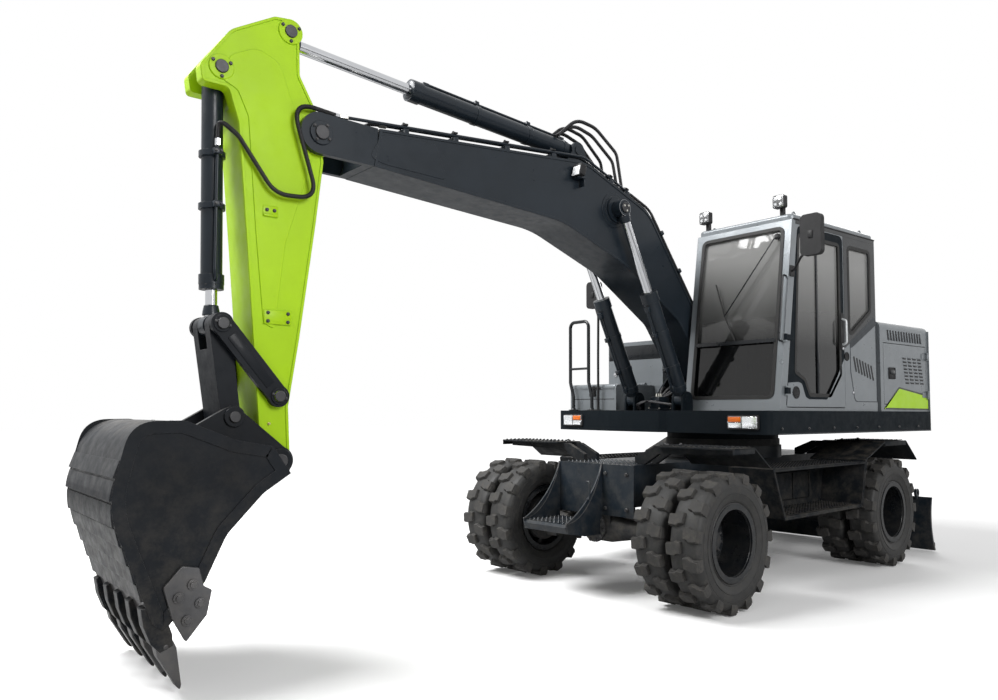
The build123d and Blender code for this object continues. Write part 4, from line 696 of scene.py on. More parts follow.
def makeWheels():
    for name, x, side in (("front_left", tyre["front"], 1), ("front_right", tyre["front"], -1),
                          ("rear_left", tyre["rear"], 1), ("rear_right", tyre["rear"], -1)):
        place = chassisTurn @ Matrix.Translation((x, 0, tyre["axle"]))
        parts = []
        for centre in tyre["centres"]:
            parts.append(tyreCarcass(side * centre))
            for row in (1, -1):
                start = 2 * pi / tyre["lugs"] * tyre["lead"] * row
                parts.append(finished("lugs", lugBlock(row, side * centre), spin, {"Count": tyre["lugs"], "Start": start},
                                      "treadRubber"))
            parts += [tube("wallRing", ringPath(radius, side * centre + wall * out, 60), thick, "sideRubber", 6)
                      for wall in (1, -1) for radius, out, thick in tyre["wallRings"]]
        tyres = joined("tyreSet_" + name, parts)
        tyres.data.transform(place)
        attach(tyres, "wheel_" + name)
        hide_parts("tyres_" + name)

        hub, out = side * tyre["hubFace"], (0, side, 0)
        nuts = boltCircle((0, 0), tyre["nutCircle"], tyre["nuts"], 0.0, side * tyre["discFace"], side)
        parts = [boltsAt("wheelNuts_" + name, nuts, "zincFitting", 0.0135, 0.022, 0.018),
                 boltsAt("hubBolts_" + name, boltCircle((0, 0), 0.088, 8, 0.2, hub, side), "blackSteel", 0.009, 0.008)]
        # round hand holes show as dark cups: painted shade for the dark inside of the wheel seen through them
        cup = [(0.030, 0.0), (0.030, 0.004), (0.024, 0.004), (0.022, 0.001)]
        parts += [turned("handHole", cup, (dx, side * 0.9775, dz), out, "blackMesh", 24) for dx, dz in circle(0.197, 8, pi / 8)]
        parts += made(
            (turned, "hubStep", [(0.070, 0.0), (0.070, 0.010), (0.060, 0.016), (0.030, 0.018)], (0, hub, 0), out,
             "castIron", 36),
            (tube, "rimEdge", ringPath(0.287, side * 1.220, 72), 0.0045, "wornSteel", 8),
            (tube, "lockRing", ringPath(0.247, side * 1.212, 72), 0.006, "blackPaint", 8),
            (tube, "valveStem", [(0.225, side * 1.02, 0.04), (0.222, side * 1.08, 0.045), (0.210, side * 1.10, 0.05)], 0.005,
             "brassFitting", 8))
        trim = joined("wheelTrim_" + name, parts)
        trim.data.transform(place)
        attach(trim, "wheel_" + name)
    print("wheels made")


boomSize = {"half": 0.200, "stand": 0.006, "knee": (2.071, 3.526), "fall": 0.0846, "rise": 0.385, "outerPipe": 0.179,
            "innerPipe": 0.141, "pipeLift": 0.046, "pipeEnd": 4.300, "rests": (1.560, 1.760, 2.420, 2.900, 3.380, 3.800),
            "clampY": 0.160}
boomLine = roundCorners([(4010, 3362), (2071, 3526), (1290, 3225), (328, 1960), (532, 1800), (900, 2285), (1560, 2700),
                         (2330, 2985), (4050, 3097)], [0, 500, 400, 0, 0, 250, 700, 900, 0], 8)


def boomTop(x):
    kneeX, kneeZ = boomSize["knee"]
    return kneeZ - (x - kneeX) * boomSize["fall"] if x > kneeX else kneeZ - (kneeX - x) * boomSize["rise"]


def makeBoom():
    half, lift, clampY = boomSize["half"], boomSize["pipeLift"], boomSize["clampY"]
    outer, inner = boomSize["outerPipe"], boomSize["innerPipe"]
    parts = []
    for side in (1, -1):
        low = side * (half - 0.001)
        parts += made(
            (hoop, "boomFlange", grown(boomLine, -0.001), grown(boomLine, -0.019), low, side * (half + boomSize["stand"]),
             "darkPaint"),
            # round doubler and boss at the lift pin, ring and pin at the tip
            (discY, "liftDoubler", pins["lift"], 0.150, low, side * (half + 0.006), "darkPaint"),
            (discY, "liftRing", pins["lift"], 0.120, low, side * (half + 0.016), "darkPaint"),
            (discY, "tipRing", pins["tip"], 0.078, low, side * (half + 0.012), "darkPaint"),
            (discY, "tipPin", pins["tip"], 0.046, low, side * (half + 0.027), "blackSteel"),
            (prism, "tipPlate", roundCorners([(3560, 3355), (3990, 3330), (4090, 3150), (3960, 3125), (3450, 3110)],
                                             [40, 60, 60, 40, 40]), low, side * (half + 0.004), "darkPaint"))
    # rests across the top and the four pipes
    for x in boomSize["rests"]:
        slope = -boomSize["fall"] if x > boomSize["knee"][0] else boomSize["rise"]
        up, ahead = (-slope, 0, 1), (1, 0, slope)
        parts.append(slab("pipeRest", (0.046, 0.396, 0.036), (x, 0, boomTop(x) + 0.014), "darkPaint", 0.004, up, ahead))
        parts += [slab("pipeClamp", (0.036, 0.072, 0.014), (x, y, boomTop(x) + 0.063), "blackPlastic", 0.004, up, ahead)
                  for y in (-clampY, clampY)]
    for y, end in ((-outer, boomSize["pipeEnd"]), (-inner, 3.990), (inner, 3.990), (outer, boomSize["pipeEnd"])):
        path = rounded([(1.500, y, boomTop(1.5) + lift), (2.071, y, 3.572), (end, y, boomTop(end) + lift)], 0.25, 8)
        parts += made((tube, "boomPipe", path, 0.011, "darkPaint", 12),
                      (turned, "pipeCoupling", [(0.019, 0), (0.019, 0.052), (0.015, 0.058)],
                       (end - 0.058, y, boomTop(end - 0.05) + lift), (1, 0, -boomSize["fall"]), "zincFitting", 6))
    # two feed pipes leave for the arm cylinder and bend up to its barrel
    for side in (-1, 1):
        path = rounded([(3.985, side * inner, boomTop(3.99) + lift), (4.06, side * inner, boomTop(4.06) + 0.040),
                        (4.10, side * 0.120, boomTop(4.1) + 0.02)], 0.03, 4)
        parts.append(tube("pipeBend", path, 0.012, "hoseRubber", 10))
    # the pipes go on down the back of the boom to its foot
    for y in (-outer, -inner, inner, outer):
        path = rounded([(1.505, y, boomTop(1.505) + lift), (1.262, y, 3.262), (0.700, y, 2.520), (0.300, y, 1.995),
                        (0.262, y, 1.900)], [0.25, 0.3, 0.2, 0.08], 8)
        parts.append(tube("backPipe", path, 0.012, "hoseRubber", 10))
    parts += [slab("backClamp", (0.040, 0.400, 0.040), (x - 0.012, 0, z + 0.010), "darkPaint", 0.005, (-0.79, 0, 0.61),
                   (0.61, 0, 0.79)) for x, z in ((1.120, 3.060), (0.880, 2.745), (0.640, 2.430), (0.440, 2.168))]
    # work lamp on the left side
    up, ahead = (-0.25, 0, 1), (1, 0, 0.25)
    parts += made((slab, "lampBracket", (0.090, 0.070, 0.008), (2.181, 0.236, 3.360), "darkPaint", 0.002),
                  (slab, "lampFoot", (0.012, 0.060, 0.070), (2.150, 0.236, 3.330), "darkPaint", 0.002),
                  (slab, "workLamp", (0.070, 0.096, 0.096), (2.205, 0.262, 3.416), "blackPlastic", 0.012, up, ahead),
                  (slab, "workLens", (0.010, 0.080, 0.080), (2.242, 0.262, 3.407), "lampGlow", 0.004, up, ahead))
    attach(joined("boomTrim", parts), "boom")

    places = [place for side in (1, -1) for place in boltCircle(pins["tip"], 0.062, 4, 0.6, side * (half + 0.012), side)]
    places += [((x, y, boomTop(x) + 0.070), (0, 0, 1)) for x in boomSize["rests"] for y in (-clampY, clampY)]
    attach(boltsAt("boomBolts", places, "blackSteel", 0.009, 0.009), "boom")
    print("boom dressed")


def makeLoops():
    # hoses that arch from the pipes on the boom to the arm cylinder's foot
    for k, (y, lift) in enumerate(((-0.100, 0.10), (-0.060, 0.16), (0.060, 0.13), (0.100, 0.19))):
        path = rounded([(1.560, y * 1.3, 3.372), (1.620, y * 1.2, 3.520 + lift), (1.860, y, 3.700 + lift),
                        (2.080, y, 3.800 + lift * 0.6), (2.270, y * 0.8, 3.742)], [0.10, 0.20, 0.20], 8)
        hose = tube("loopCore", path, 0.0125, "hoseRubber", 12)
        coil = ringsAlong("loopCoil", path, 0.0135, 0.002, 0.0095, "hoseRubber")
        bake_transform(joined("boomLoop_" + str(k + 1), [hose, coil]))
    print("boom loops made")


def dense(path, step):
    # the path with points no further apart than about a step
    out = []
    for a, b in zip(path, path[1:]):
        n = max(1, int((b - a).length / step))
        out += [a.lerp(b, k / n) for k in range(n)]
    return out


def makeArmHoses():
    end = boomTop(boomSize["pipeEnd"]) + boomSize["pipeLift"]
    for side, name in ((1, "left"), (-1, "right")):
        start = (boomSize["pipeEnd"], side * boomSize["outerPipe"], end)
        path = rounded([start, (4.645, side * 0.212, end + 0.012), (4.455, side * 0.212, 2.800), (4.735, side * 0.204, 2.790),
                        (4.960, side * 0.182, 3.110), (5.052, side * 0.098, 3.215), (5.052, side * 0.098, 3.085)],
                       [0.14, 0.16, 0.16, 0.11, 0.06], 12)
        path = dense(path, 0.012) + path[-1:]
        hose = tube("armHoseCore", path, 0.012, "hoseRubber", 12)
        coil = ringsAlong("armHoseCoil", path, 0.0132, 0.0022, 0.0085, "hoseRubber")
        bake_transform(joined("armHose_" + name, [hose, coil]))
        fitting = turned("hoseFitting", [(0.013, 0.0), (0.019, 0.004), (0.019, 0.030), (0.015, 0.034), (0.015, 0.062)], start,
                         (1, 0, 0.03), "chrome", 6)
        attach(fitting, "boom")
        fitting.name = "hoseFitting_" + name
    print("arm hoses made")


armSize = {"half": 0.150, "stand": 0.007, "plate": (4.682, 2.035), "nippleX": 4.722}
armLine = roundCorners([(4573, 3800), (4600, 3945), (4740, 3925), (5010, 3760), (5185, 3500), (5170, 3400), (5015, 3400),
                        (4950, 3200), (4880, 2450), (4822, 1800), (4785, 1378), (4751, 1150), (4580, 1130), (4600, 1490),
                        (4535, 1919), (4440, 2650), (4393, 3064), (4440, 3370), (4566, 3590)],
                       [0, 80, 60, 150, 40, 30, 40, 60, 0, 0, 0, 0, 0, 0, 0, 0, 100, 60, 60], 6)
armArch = roundCorners([(4470, 3070), (4620, 3420), (4700, 3640), (4850, 3690), (5010, 3600), (5060, 3440), (4960, 3400),
                        (4890, 3250), (4830, 2560), (4770, 2000), (4700, 1960), (4640, 2500)],
                       [60, 200, 120, 120, 100, 40, 60, 120, 0, 20, 20, 200])


def makeArm():
    half, (plateX, plateZ) = armSize["half"], armSize["plate"]
    parts, places = [], []
    for side in (1, -1):
        low, high, boss = side * (half - 0.001), side * (half + armSize["stand"]), side * (half + 0.010)
        pinEnd, out = side * (half + 0.022), (0, side, 0)
        parts += made(
            (hoop, "armFlange", grown(armLine, -0.002), grown(armLine, -0.018), low, high, "limePaint"),
            (prism, "armArch", armArch, low, high, "limePaint"),
            (discY, "armEyeBoss", pins["armEye"], 0.080, low, boss, "limePaint"),
            (discY, "bucketFootBoss", pins["bucketFoot"], 0.075, low, boss, "limePaint"),
            (discY, "bucketFootPin", pins["bucketFoot"], 0.040, low, pinEnd, "blackSteel"),
            (discY, "armEyePin", pins["armEye"], 0.040, low, pinEnd, "blackSteel"),
            (discY, "rockerBoss", pins["rocker"], 0.072, low, side * (half + 0.008), "limePaint"),
            # four bolt plate and the small ledge below the hose
            (slab, "boltPlate", (0.175, 0.016, 0.088), (plateX, side * (half + 0.006), plateZ), "limePaint", 0.004),
            (slab, "ledge", (0.090, 0.024, 0.014), (4.742, boss, 2.660), "limePaint", 0.003),
            (slab, "ledgeBlock", (0.095, 0.014, 0.062), (4.742, side * (half + 0.005), 2.690), "limePaint", 0.003))
        places += [((plateX + dx, side * (half + 0.014), plateZ + dz), out) for dx in (-0.064, 0.064) for dz in (-0.026, 0.026)]
        places += [((x, side * (half + 0.012), 2.694), out) for x in (4.718, 4.766)]
        for pin, radius in (("bucketFoot", 0.060), ("armEye", 0.062)):
            places += boltCircle(pins[pin], radius, 3, 0.5, boss, side)
    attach(joined("armTrim", parts), "arm")
    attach(boltsAt("armBolts", places, "blackSteel", 0.009, 0.008), "arm")
    # grease nipples above the bucket's hinge
    nipples = [((armSize["nippleX"], side * half, z), (0, side, 0)) for side in (1, -1) for z in (1.300, 1.385)]
    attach(boltsAt("armNipples", nipples, "brassFitting", 0.006, 0.014, 0.008, 10), "arm")
    print("arm dressed")


def along(foot, eye, distance, y=0.0, off=0.0):
    # a point on a cylinder's line, millimetres from its foot and off the line, and the line's direction
    a, b = Vector((foot[0], 0, foot[1])), Vector((eye[0], 0, eye[1]))
    d = (b - a).normalized()
    p = (a + d * distance + Vector((-d.z, 0, d.x)) * off) * 0.001
    p.y = y
    return p, d


def glandBolts(head, d, radius):
    across = Vector((0, 1, 0))
    return [(head + d * 0.062 + across * x + d.cross(across) * z, d) for x, z in circle(radius, 8)]


def cylinderTrim(name, body, foot, eye, ys, outer, length, pipeSide, pinY):
    parts, places = [], []
    gap = outer + 0.020
    for y in ys:
        head, d = along(foot, eye, length - 90, y)
        off = Vector((-d.z, 0, d.x)) * pipeSide
        places += glandBolts(head, d, outer - 0.002)
        parts += made(
            (turned, "glandRing", [(outer - 0.002, 0), (outer + 0.009, 0.002), (outer + 0.009, 0.060), (outer + 0.002, 0.066),
                                   (outer + 0.002, 0.088), (outer - 0.012, 0.094)], head, d, "darkPaint", 36),
            (turned, "footRing", [(outer - 0.004, 0), (outer + 0.005, 0.003), (outer + 0.005, 0.030), (outer - 0.004, 0.033)],
             along(foot, eye, 110, y)[0], d, "darkPaint", 36))
        # steel pipe along the barrel with its blocks and clamps
        path = [along(foot, eye, t, y, pipeSide * g * 1000)[0]
                for t, g in ((130, outer + 0.004), (160, gap), (length - 150, gap), (length - 118, outer + 0.006))]
        parts.append(tube("barrelPipe", rounded(path, 0.02, 4), 0.010, "darkPaint", 10))
        for share in (0.30, 0.62):
            saddle = along(foot, eye, length * share + 18, y, pipeSide * (gap + 0.004) * 1000)[0]
            parts += made((turned, "barrelBand", [(outer, 0), (outer + 0.005, 0.001), (outer + 0.005, 0.035), (outer, 0.036)],
                           along(foot, eye, length * share, y)[0], d, "darkPaint", 36),
                          (slab, "pipeSaddle", (0.040, 0.044, 0.030), saddle, "darkPaint", 0.004, off, d))
            places.append((saddle + off * 0.014, off))
        parts += [slab("portBlock", (0.056, 0.048, 0.030), along(foot, eye, t, y, pipeSide * (outer + 0.008) * 1000)[0],
                       "darkPaint", 0.005, off, d) for t in (140, length - 130)]
        parts += [discY("eyeWasher", foot, 0.052, y + s * pinY * 0.98, y + s * (pinY + 0.004), "blackSteel") for s in (-1, 1)]
    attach(joined(name + "Trim", parts), body)
    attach(boltsAt(name + "Bolts", places, "blackSteel", 0.007, 0.008), body)


def makeCylinders():
    liftYs = (-0.283, 0.283)
    cylinderTrim("boomCylinder", "boom_barrels", pins["liftFoot"], pins["lift"], liftYs, 0.068, 1020, -1, 0.042)
    cylinderTrim("armCylinder", "arm_barrel", pins["armFoot"], pins["armEye"], (0.0,), 0.071, 1620, 1, 0.055)
    # the bucket cylinder carries a pair of side pipes in strong clamps
    foot, eye, barrel = pins["bucketFoot"], pins["rockerEye"], 1323
    parts, places = [], []
    for start in (480, 800):
        p, d = along(foot, eye, start)
        clamp = [(0.0635, 0), (0.078, 0.002), (0.078, 0.036), (0.0635, 0.038)]
        parts.append(turned("barrelClamp", clamp, p, d, "darkPaint", 36))
        for s in (-1, 1):
            at = along(foot, eye, start + 19, s * 0.096)[0]
            parts.append(slab("clampEar", (0.052, 0.050, 0.038), at, "darkPaint", 0.005, d, (1, 0, 0)))
            places += [((at.x + dx, s * 0.121, at.z), (0, s, 0)) for dx in (-0.016, 0.016)]
    head, d = along(foot, eye, barrel - 92)
    gland = [(0.062, 0), (0.074, 0.002), (0.074, 0.060), (0.066, 0.066), (0.066, 0.088), (0.052, 0.094)]
    parts.append(turned("glandRing", gland, head, d, "darkPaint", 36))
    places += glandBolts(head, d, 0.066)
    for s in (-1, 1):
        path = [(5.052, s * 0.098, 3.090), (5.049, s * 0.098, 2.300), (5.043, s * 0.094, 2.250), (5.036, s * 0.060, 2.235)]
        parts += made((tube, "sidePipe", rounded(path, 0.03, 4), 0.010, "darkPaint", 10),
                      (turned, "sideNut", [(0.012, 0), (0.018, 0.004), (0.018, 0.044), (0.013, 0.048)],
                       (5.052, s * 0.098, 3.094), (0, 0, -1), "chrome", 6))
    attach(joined("bucketCylinderTrim", parts), "bucket_barrel")
    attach(boltsAt("bucketCylinderBolts", places, "blackSteel", 0.007, 0.008), "bucket_barrel")
    # rods end in a forged eye; the lift cylinders' pins show with three bolts
    for body, foot, eye, ys, radius, reach in (("boom_rods", pins["liftFoot"], pins["lift"], liftYs, 0.069, 0.0425),
                                               ("arm_rod", pins["armFoot"], pins["armEye"], (0.0,), 0.072, 0.0505),
                                               ("bucket_rod", pins["bucketFoot"], pins["rockerEye"], (0.0,), 0.066, 0.0505)):
        parts = []
        for y in ys:
            p, d = along(foot, eye, hypot(eye[0] - foot[0], eye[1] - foot[1]) - 125, y)
            parts.append(discY("rodEye", eye, radius, y - reach, y + reach, "darkPaint"))
            if body == "boom_rods":
                s = 1 if y > 0 else -1
                pinEnd = y + s * (reach + 0.014)
                parts.append(discY("rodPin", eye, 0.044, y + s * reach, pinEnd, "blackSteel"))
                parts += [turned("eyeBolt", [(0.009, 0), (0.009, 0.008)], at, out, "zincFitting", 6)
                          for at, out in boltCircle(eye, 0.028, 3, 0.4, pinEnd, s)]
            parts.append(turned("rodNeck", [(0.036, 0), (0.042, 0.004), (0.050, 0.040), (0.052, 0.062)], p, d, "darkPaint", 28))
        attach(joined(body + "Neck", parts), body)
    print("cylinders dressed")


bucket = {"half": 0.525, "bands": 7, "bandLow": 0.006, "bandRise": 0.009, "teeth": 5, "toothInset": 0.042,
          "toothRoot": (5.434, 0, 0.365), "toothLine": (-0.358, 0, -0.934), "toothUp": (0.934, 0, -0.358)}
bucketLine = roundCorners([(4745, 1110), (4850, 1262), (5060, 1300), (5330, 1408), (5590, 1405), (5690, 980), (5462, 385),
                           (5405, 345), (5213, 555), (5100, 800), (4900, 1010)],
                          [0, 40, 200, 120, 220, 500, 0, 0, 150, 200, 150], 10)
cutterLine = roundCorners([(5372, 398), (5300, 268), (5196, 392), (5172, 520), (5215, 545), (5240, 640), (5330, 660),
                           (5420, 560)], [10, 10, 15, 12, 10, 15, 20, 20])
adapter = ((-120, -34), (-60, -52), (70, -50), (130, -34), (130, 36), (70, 60), (-30, 62), (-120, 44))
toothTip = ((105, -44), (150, -46), (340, -6), (358, 4), (358, 12), (330, 20), (150, 52), (105, 48))


def wearBands(wide):
    # bands across the back of the shell, each one standing over the next
    fine = dense([p for p in bucketLine if p.x > 5.30 and 0.38 < p.y < 1.30], 0.006)
    fine = [p for p in fine if 0.47 < p.y < 1.215]
    share = len(fine) // bucket["bands"]
    bands = []
    for index in range(bucket["bands"]):
        run = fine[index * share:(index + 1) * share - 1]
        if run[0].y < run[-1].y:
            run = run[::-1]
        skin = []
        for k, p in enumerate(run):
            ahead = (run[min(k + 1, len(run) - 1)] - run[max(k - 1, 0)]).normalized()
            out = Vector((-ahead.y, ahead.x))
            out = -out if out.x < 0 else out
            skin.append(p + out * (bucket["bandLow"] + bucket["bandRise"] * k / (len(run) - 1)))
        sunk = [p - (q - p) * 0.2 for p, q in zip(run, skin)]
        bands.append(prism("wearBand", skin + sunk[::-1], -wide, wide, "bucketPaint", 0.0015))
    return bands


def toothPiece(outline, y, wide, finish, tapers):
    origin, line, up = [Vector(bucket[key]) for key in ("toothRoot", "toothLine", "toothUp")]
    points, n = [], len(outline)
    for s in (-1, 1):
        for px, pz in outline:
            taper = 1.0 - max(0.0, (px - 150) / 210) * 0.25 if tapers else 1.0
            points.append(origin + line * px * 0.001 + up * pz * 0.001 + Vector((0, y + s * wide * taper, 0)))
    faces = [tuple(range(n))[::-1], tuple(range(n, 2 * n))] + [(i, (i + 1) % n, n + (i + 1) % n, n + i) for i in range(n)]
    obj = fixNormals(meshObject("tooth", points, faces, finish))
    edge = obj.modifiers.new("edge", "BEVEL")
    edge.width, edge.segments = 0.005, 2
    return applied(obj)


def makeBucket():
    half = bucket["half"]
    parts, places = wearBands(half + 0.004), []
    lip = roundCorners([(5405, 345), (5462, 385), (5536, 575), (5500, 585), (5380, 372)], 0)
    parts.append(prism("cuttingEdge", lip, -half - 0.004, half + 0.004, "wornSteel", 0.003))
    # side cutters with their bolts, the doubler along the side plate's edge, ears with hub rings
    for side in (1, -1):
        out = side * (half + 0.022)
        parts += made((prism, "sideCutter", cutterLine, side * (half - 0.002), out, "wornSteel", 0.004),
                      (hoop, "sideRim", grown(bucketLine, 0.003), grown(bucketLine, -0.062), side * (half - 0.001),
                       side * (half + 0.008), "bucketPaint"))
        places += [((x, out, z), (0, side, 0)) for x, z in ((5.235, 0.460), (5.275, 0.560), (5.345, 0.500), (5.300, 0.380))]
        for centre, radius in ((pins["bucketHinge"], 0.074), (pins["bucketEar"], 0.060)):
            parts += made((discY, "earRing", centre, radius, side * 0.197, side * 0.212, "bucketPaint"),
                          (discY, "earPin", centre, radius * 0.55, side * 0.197, side * 0.226, "blackSteel"))
    # tooth adapters and points
    inset = half - bucket["toothInset"]
    root = Vector(bucket["toothRoot"]) + Vector(bucket["toothLine"]) * 0.118
    for index in range(bucket["teeth"]):
        y = index * 2 * inset / (bucket["teeth"] - 1) - inset
        parts += made((toothPiece, adapter, y, 0.042, "bucketPaint", False),
                      (toothPiece, toothTip, y, 0.036, "wornSteel", True))
        for s in (-1, 1):
            parts.append(turned("toothPin", [(0.013, 0), (0.013, 0.006), (0.009, 0.009)], root + Vector((0, y + s * 0.036, 0)),
                                (0, s, 0), "blackSteel", 12))
    # weld beads between ears and shell
    parts += [tube("weld", [(4.90, y, 1.272), (5.06, y, 1.312), (5.20, y, 1.362), (5.30, y, 1.402)], 0.007, "bucketPaint", 8)
              for y in (0.160, 0.200, -0.160, -0.200)]
    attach(joined("bucketTrim", parts), "bucket")
    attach(boltsAt("bucketBolts", places, "wornSteel", 0.019, 0.016, 0.027), "bucket")
    print("bucket dressed")


def makeLinks():
    parts, places = [], []
    for side in (1, -1):
        for centre in (pins["rocker"], pins["rockerEye"]):
            parts += made((discY, "rockerRing", centre, 0.052, side * 0.197, side * 0.206, "bucketPaint"),
                          (discY, "rockerPin", centre, 0.034, side * 0.197, side * 0.222, "blackSteel"))
            places += [((centre[0] * 0.001 + s * 0.040, side * 0.206, centre[1] * 0.001 + s * 0.012), (0, side, 0))
                       for s in (1, -1)]
        # raised spine on each rocker
        a, b = Vector((4.678, side * 0.199, 1.551)), Vector((5.031, side * 0.199, 1.972))
        parts.append(slab("rockerSpine", ((b - a).length - 0.17, 0.060, 0.008), (a + b) / 2, "bucketPaint", 0.003, (0, side, 0),
                          (b - a).normalized()))
    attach(joined("rockerTrim", parts), "rocker")
    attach(boltsAt("rockerBolts", places, "blackSteel", 0.008, 0.008), "rocker")
    parts = []
    for side in (1, -1):
        y = side * 0.066
        parts += made((discY, "linkRing", pins["bucketEar"], 0.050, side * 0.147, side * 0.154, "bucketPaint"),
                      (tube, "linkWeld", [(4.985, y, 1.52), (5.010, y, 1.70), (5.030, y, 1.86)], 0.006, "bucketPaint", 8))
    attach(joined("linkTrim", parts), "link")
    print("links dressed")


cab = {"left": 1.210, "frontLow": 0.877, "frontHigh": 0.642, "floor": 1.4753, "roof": 3.140, "mid": 0.724}
cabLean, cabRise = cab["frontLow"] - cab["frontHigh"], cab["roof"] - cab["floor"]
frontNormal = Vector((1, 0, cabLean / cabRise)).normalized()
frontUp = Vector((-cabLean, 0, cabRise)).normalized()


def onFront(y, z, out=0.0):
    return Vector((cab["frontLow"] - cabLean * (z - cab["floor"]) / cabRise + out, y, z))


def upFront(z):
    return (z - cab["floor"]) / frontUp.z


def frontPlane(name, low, high, radius, thick, finish, hole=0.0):
    # a plate or frame that lies on the sloping front, between two corners given across and up
    (y0, z0), (y1, z1) = [(y * 1000, z * 1000) for y, z in (low, high)]
    loop = roundCorners([(y0, z0), (y1, z0), (y1, z1), (y0, z1)], radius * 1000, 6)
    obj = hoop(name, loop, grown(loop, -hole), 0.0, thick, finish) if hole else prism(name, loop, 0.0, thick, finish, 0.001)
    m = Matrix((Vector((0, 1, 0)), frontNormal, frontUp)).transposed().to_4x4()
    m.translation = Vector((cab["frontLow"], 0, cab["floor"])) + frontNormal * 0.001
    obj.data.transform(m)
    return fixNormals(obj)


def makeCab():
    left, low, bar, high = cab["left"], upFront(1.572), upFront(2.060), upFront(3.035)
    flush, outward = left - 0.001, (0, 1, 0)
    hold = [onFront(1.186, z, out) for z, out in ((2.05, 0.0), (2.05, 0.045), (2.60, 0.045), (2.60, 0.0))]
    quarter = roundCorners([(-260, 2960), (-640, 2960), (-640, 2410), (-260, 2160)], 40, 6)
    outside = roundCorners([(-172, 3086), (-742, 3086), (-742, 2338), (-172, 2040)], 6, 6)
    rail = roundCorners([(600, 3052), (-742, 3052), (-742, 3100), (594, 3100)], 6, 3)
    panel = roundCorners([(-745, 2335), (-600, 2335), (-560, 2250), (-262, 2085), (-262, 1835), (-330, 1560), (-745, 1560)],
                         [10, 10, 40, 20, 40, 60, 10], 5)
    slant = roundCorners([(-745, 2330), (-700, 2355), (-262, 2105), (-262, 2045), (-300, 2052), (-745, 2285)],
                         [4, 10, 10, 20, 20, 4], 4)
    parts = made(
        (frontPlane, "frontSeal", (0.300, low), (1.148, high), 0.07, 0.006, "sealRubber", 0.030),
        (frontPlane, "crossBar", (0.315, bar - 0.016), (1.133, bar + 0.016), 0.0, 0.012, "blackPaint"),
        # wiper with its arm, blade and motor cap
        (tube, "wiperArm", [onFront(1.085, 2.95, 0.022), onFront(1.07, 2.93, 0.034), onFront(0.62, 2.30, 0.030)], 0.006,
         "blackPaint", 8),
        (tube, "wiperBlade", [onFront(0.50, 2.60, 0.020), onFront(0.62, 2.30, 0.022), onFront(0.74, 2.08, 0.020)], 0.007,
         "sealRubber", 8),
        (turned, "wiperMotor", [(0.028, 0), (0.028, 0.012), (0.016, 0.026)], onFront(1.085, 2.95, 0.002), frontNormal,
         "blackPlastic", 20),
        (tube, "frontHold", rounded(hold, 0.02, 4), 0.009, "blackPaint", 10),
        (hoop, "quarterSeal", grown(quarter, 0.022), grown(quarter, -0.010), left - 0.004, left + 0.004, "sealRubber"),
        # black field round the rear pane and over the door
        (hoop, "blackField", outside, quarter, flush, left + 0.0022, "blackPaint"),
        (prism, "blackRail", rail, flush, left + 0.0026, "blackPaint", 0.0005),
        # dark slanting panel with slots below the rear pane
        (hoop, "sidePanelEdge", panel, grown(panel, -0.006), flush, left + 0.0025, "darkPaint"),
        (prism, "slantStripe", slant, flush, left + 0.003, "darkPaint", 0.001))
    # the slots are dark prisms on the panel: painted shade for the openings
    for i in range(7):
        x, z = -690 + 52 * i, 1760 + 12 * i
        slot = roundCorners([(x, z), (x + 24, z), (x + 66, z + 140), (x + 42, z + 140)], 8, 3)
        parts.append(prism("panelSlot", slot, flush, left + 0.002, "blackMesh", 0.0005))
    # ring and lock of the panel, then the roof's raised panel, eyes and gutter
    roof = cab["roof"]
    parts += made(
        (turned, "grilleRing", [(0.040, 0), (0.040, 0.006), (0.033, 0.008), (0.030, 0.004)], (-0.200, flush, 1.965), outward,
         "blackPlastic", 28),
        (turned, "panelLock", [(0.013, 0), (0.013, 0.006), (0.009, 0.008)], (-0.30, flush, 1.640), outward, "chrome", 16),
        (slab, "roofPanel", (1.05, 0.72, 0.022), (-0.06, cab["mid"], roof + 0.008), "silverPaint", 0.010))
    for x in (-0.62, 0.50):
        for y in (0.315, 1.135):
            eye = [(x + dx, y, roof + dz) for dx, dz in ((-0.026, -0.004), (-0.026, 0.022), (0, 0.044), (0.026, 0.022),
                                                         (0.026, -0.004))]
            parts.append(tube("roofEye", rounded(eye, 0.016, 4), 0.007, "silverPaint", 8))
    parts.append(tube("gutterLeft", [(0.630, 1.212, 3.092), (-0.745, 1.212, 3.092)], 0.007, "blackPlastic", 8))
    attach(joined("cabTrim", parts), "house")
    # roof lamp reflectors and lenses, mirror glasses
    parts = []
    for y in (0.330, 1.100):
        parts += made((slab, "roofLampFace", (0.006, 0.094, 0.094), (0.677, y, 3.250), "reflector", 0.002),
                      (slab, "roofLampLens", (0.006, 0.088, 0.088), (0.683, y, 3.250), "lensWhite", 0.0025))
        parts += [turned("diode", [(0.015, 0), (0.013, 0.004), (0.006, 0.006)], (0.679, y + dy, 3.250 + dz), (1, 0, 0),
                         "lampGlow", 14) for dz in (-0.022, 0.022) for dy in (-0.022, 0.022)]
    parts += made((slab, "mirrorFaceLeft", (0.004, 0.150, 0.296), (0.8290, 1.510, 2.870), "mirrorFace", 0.0015),
                  (slab, "mirrorFaceRight", (0.004, 0.142, 0.240), (0.8990, -0.850, 2.640), "mirrorFace", 0.0015))
    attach(joined("lampAndMirrorFaces", parts), "house")
    makeDoor(left, flush, outward)
    print("cab dressed")


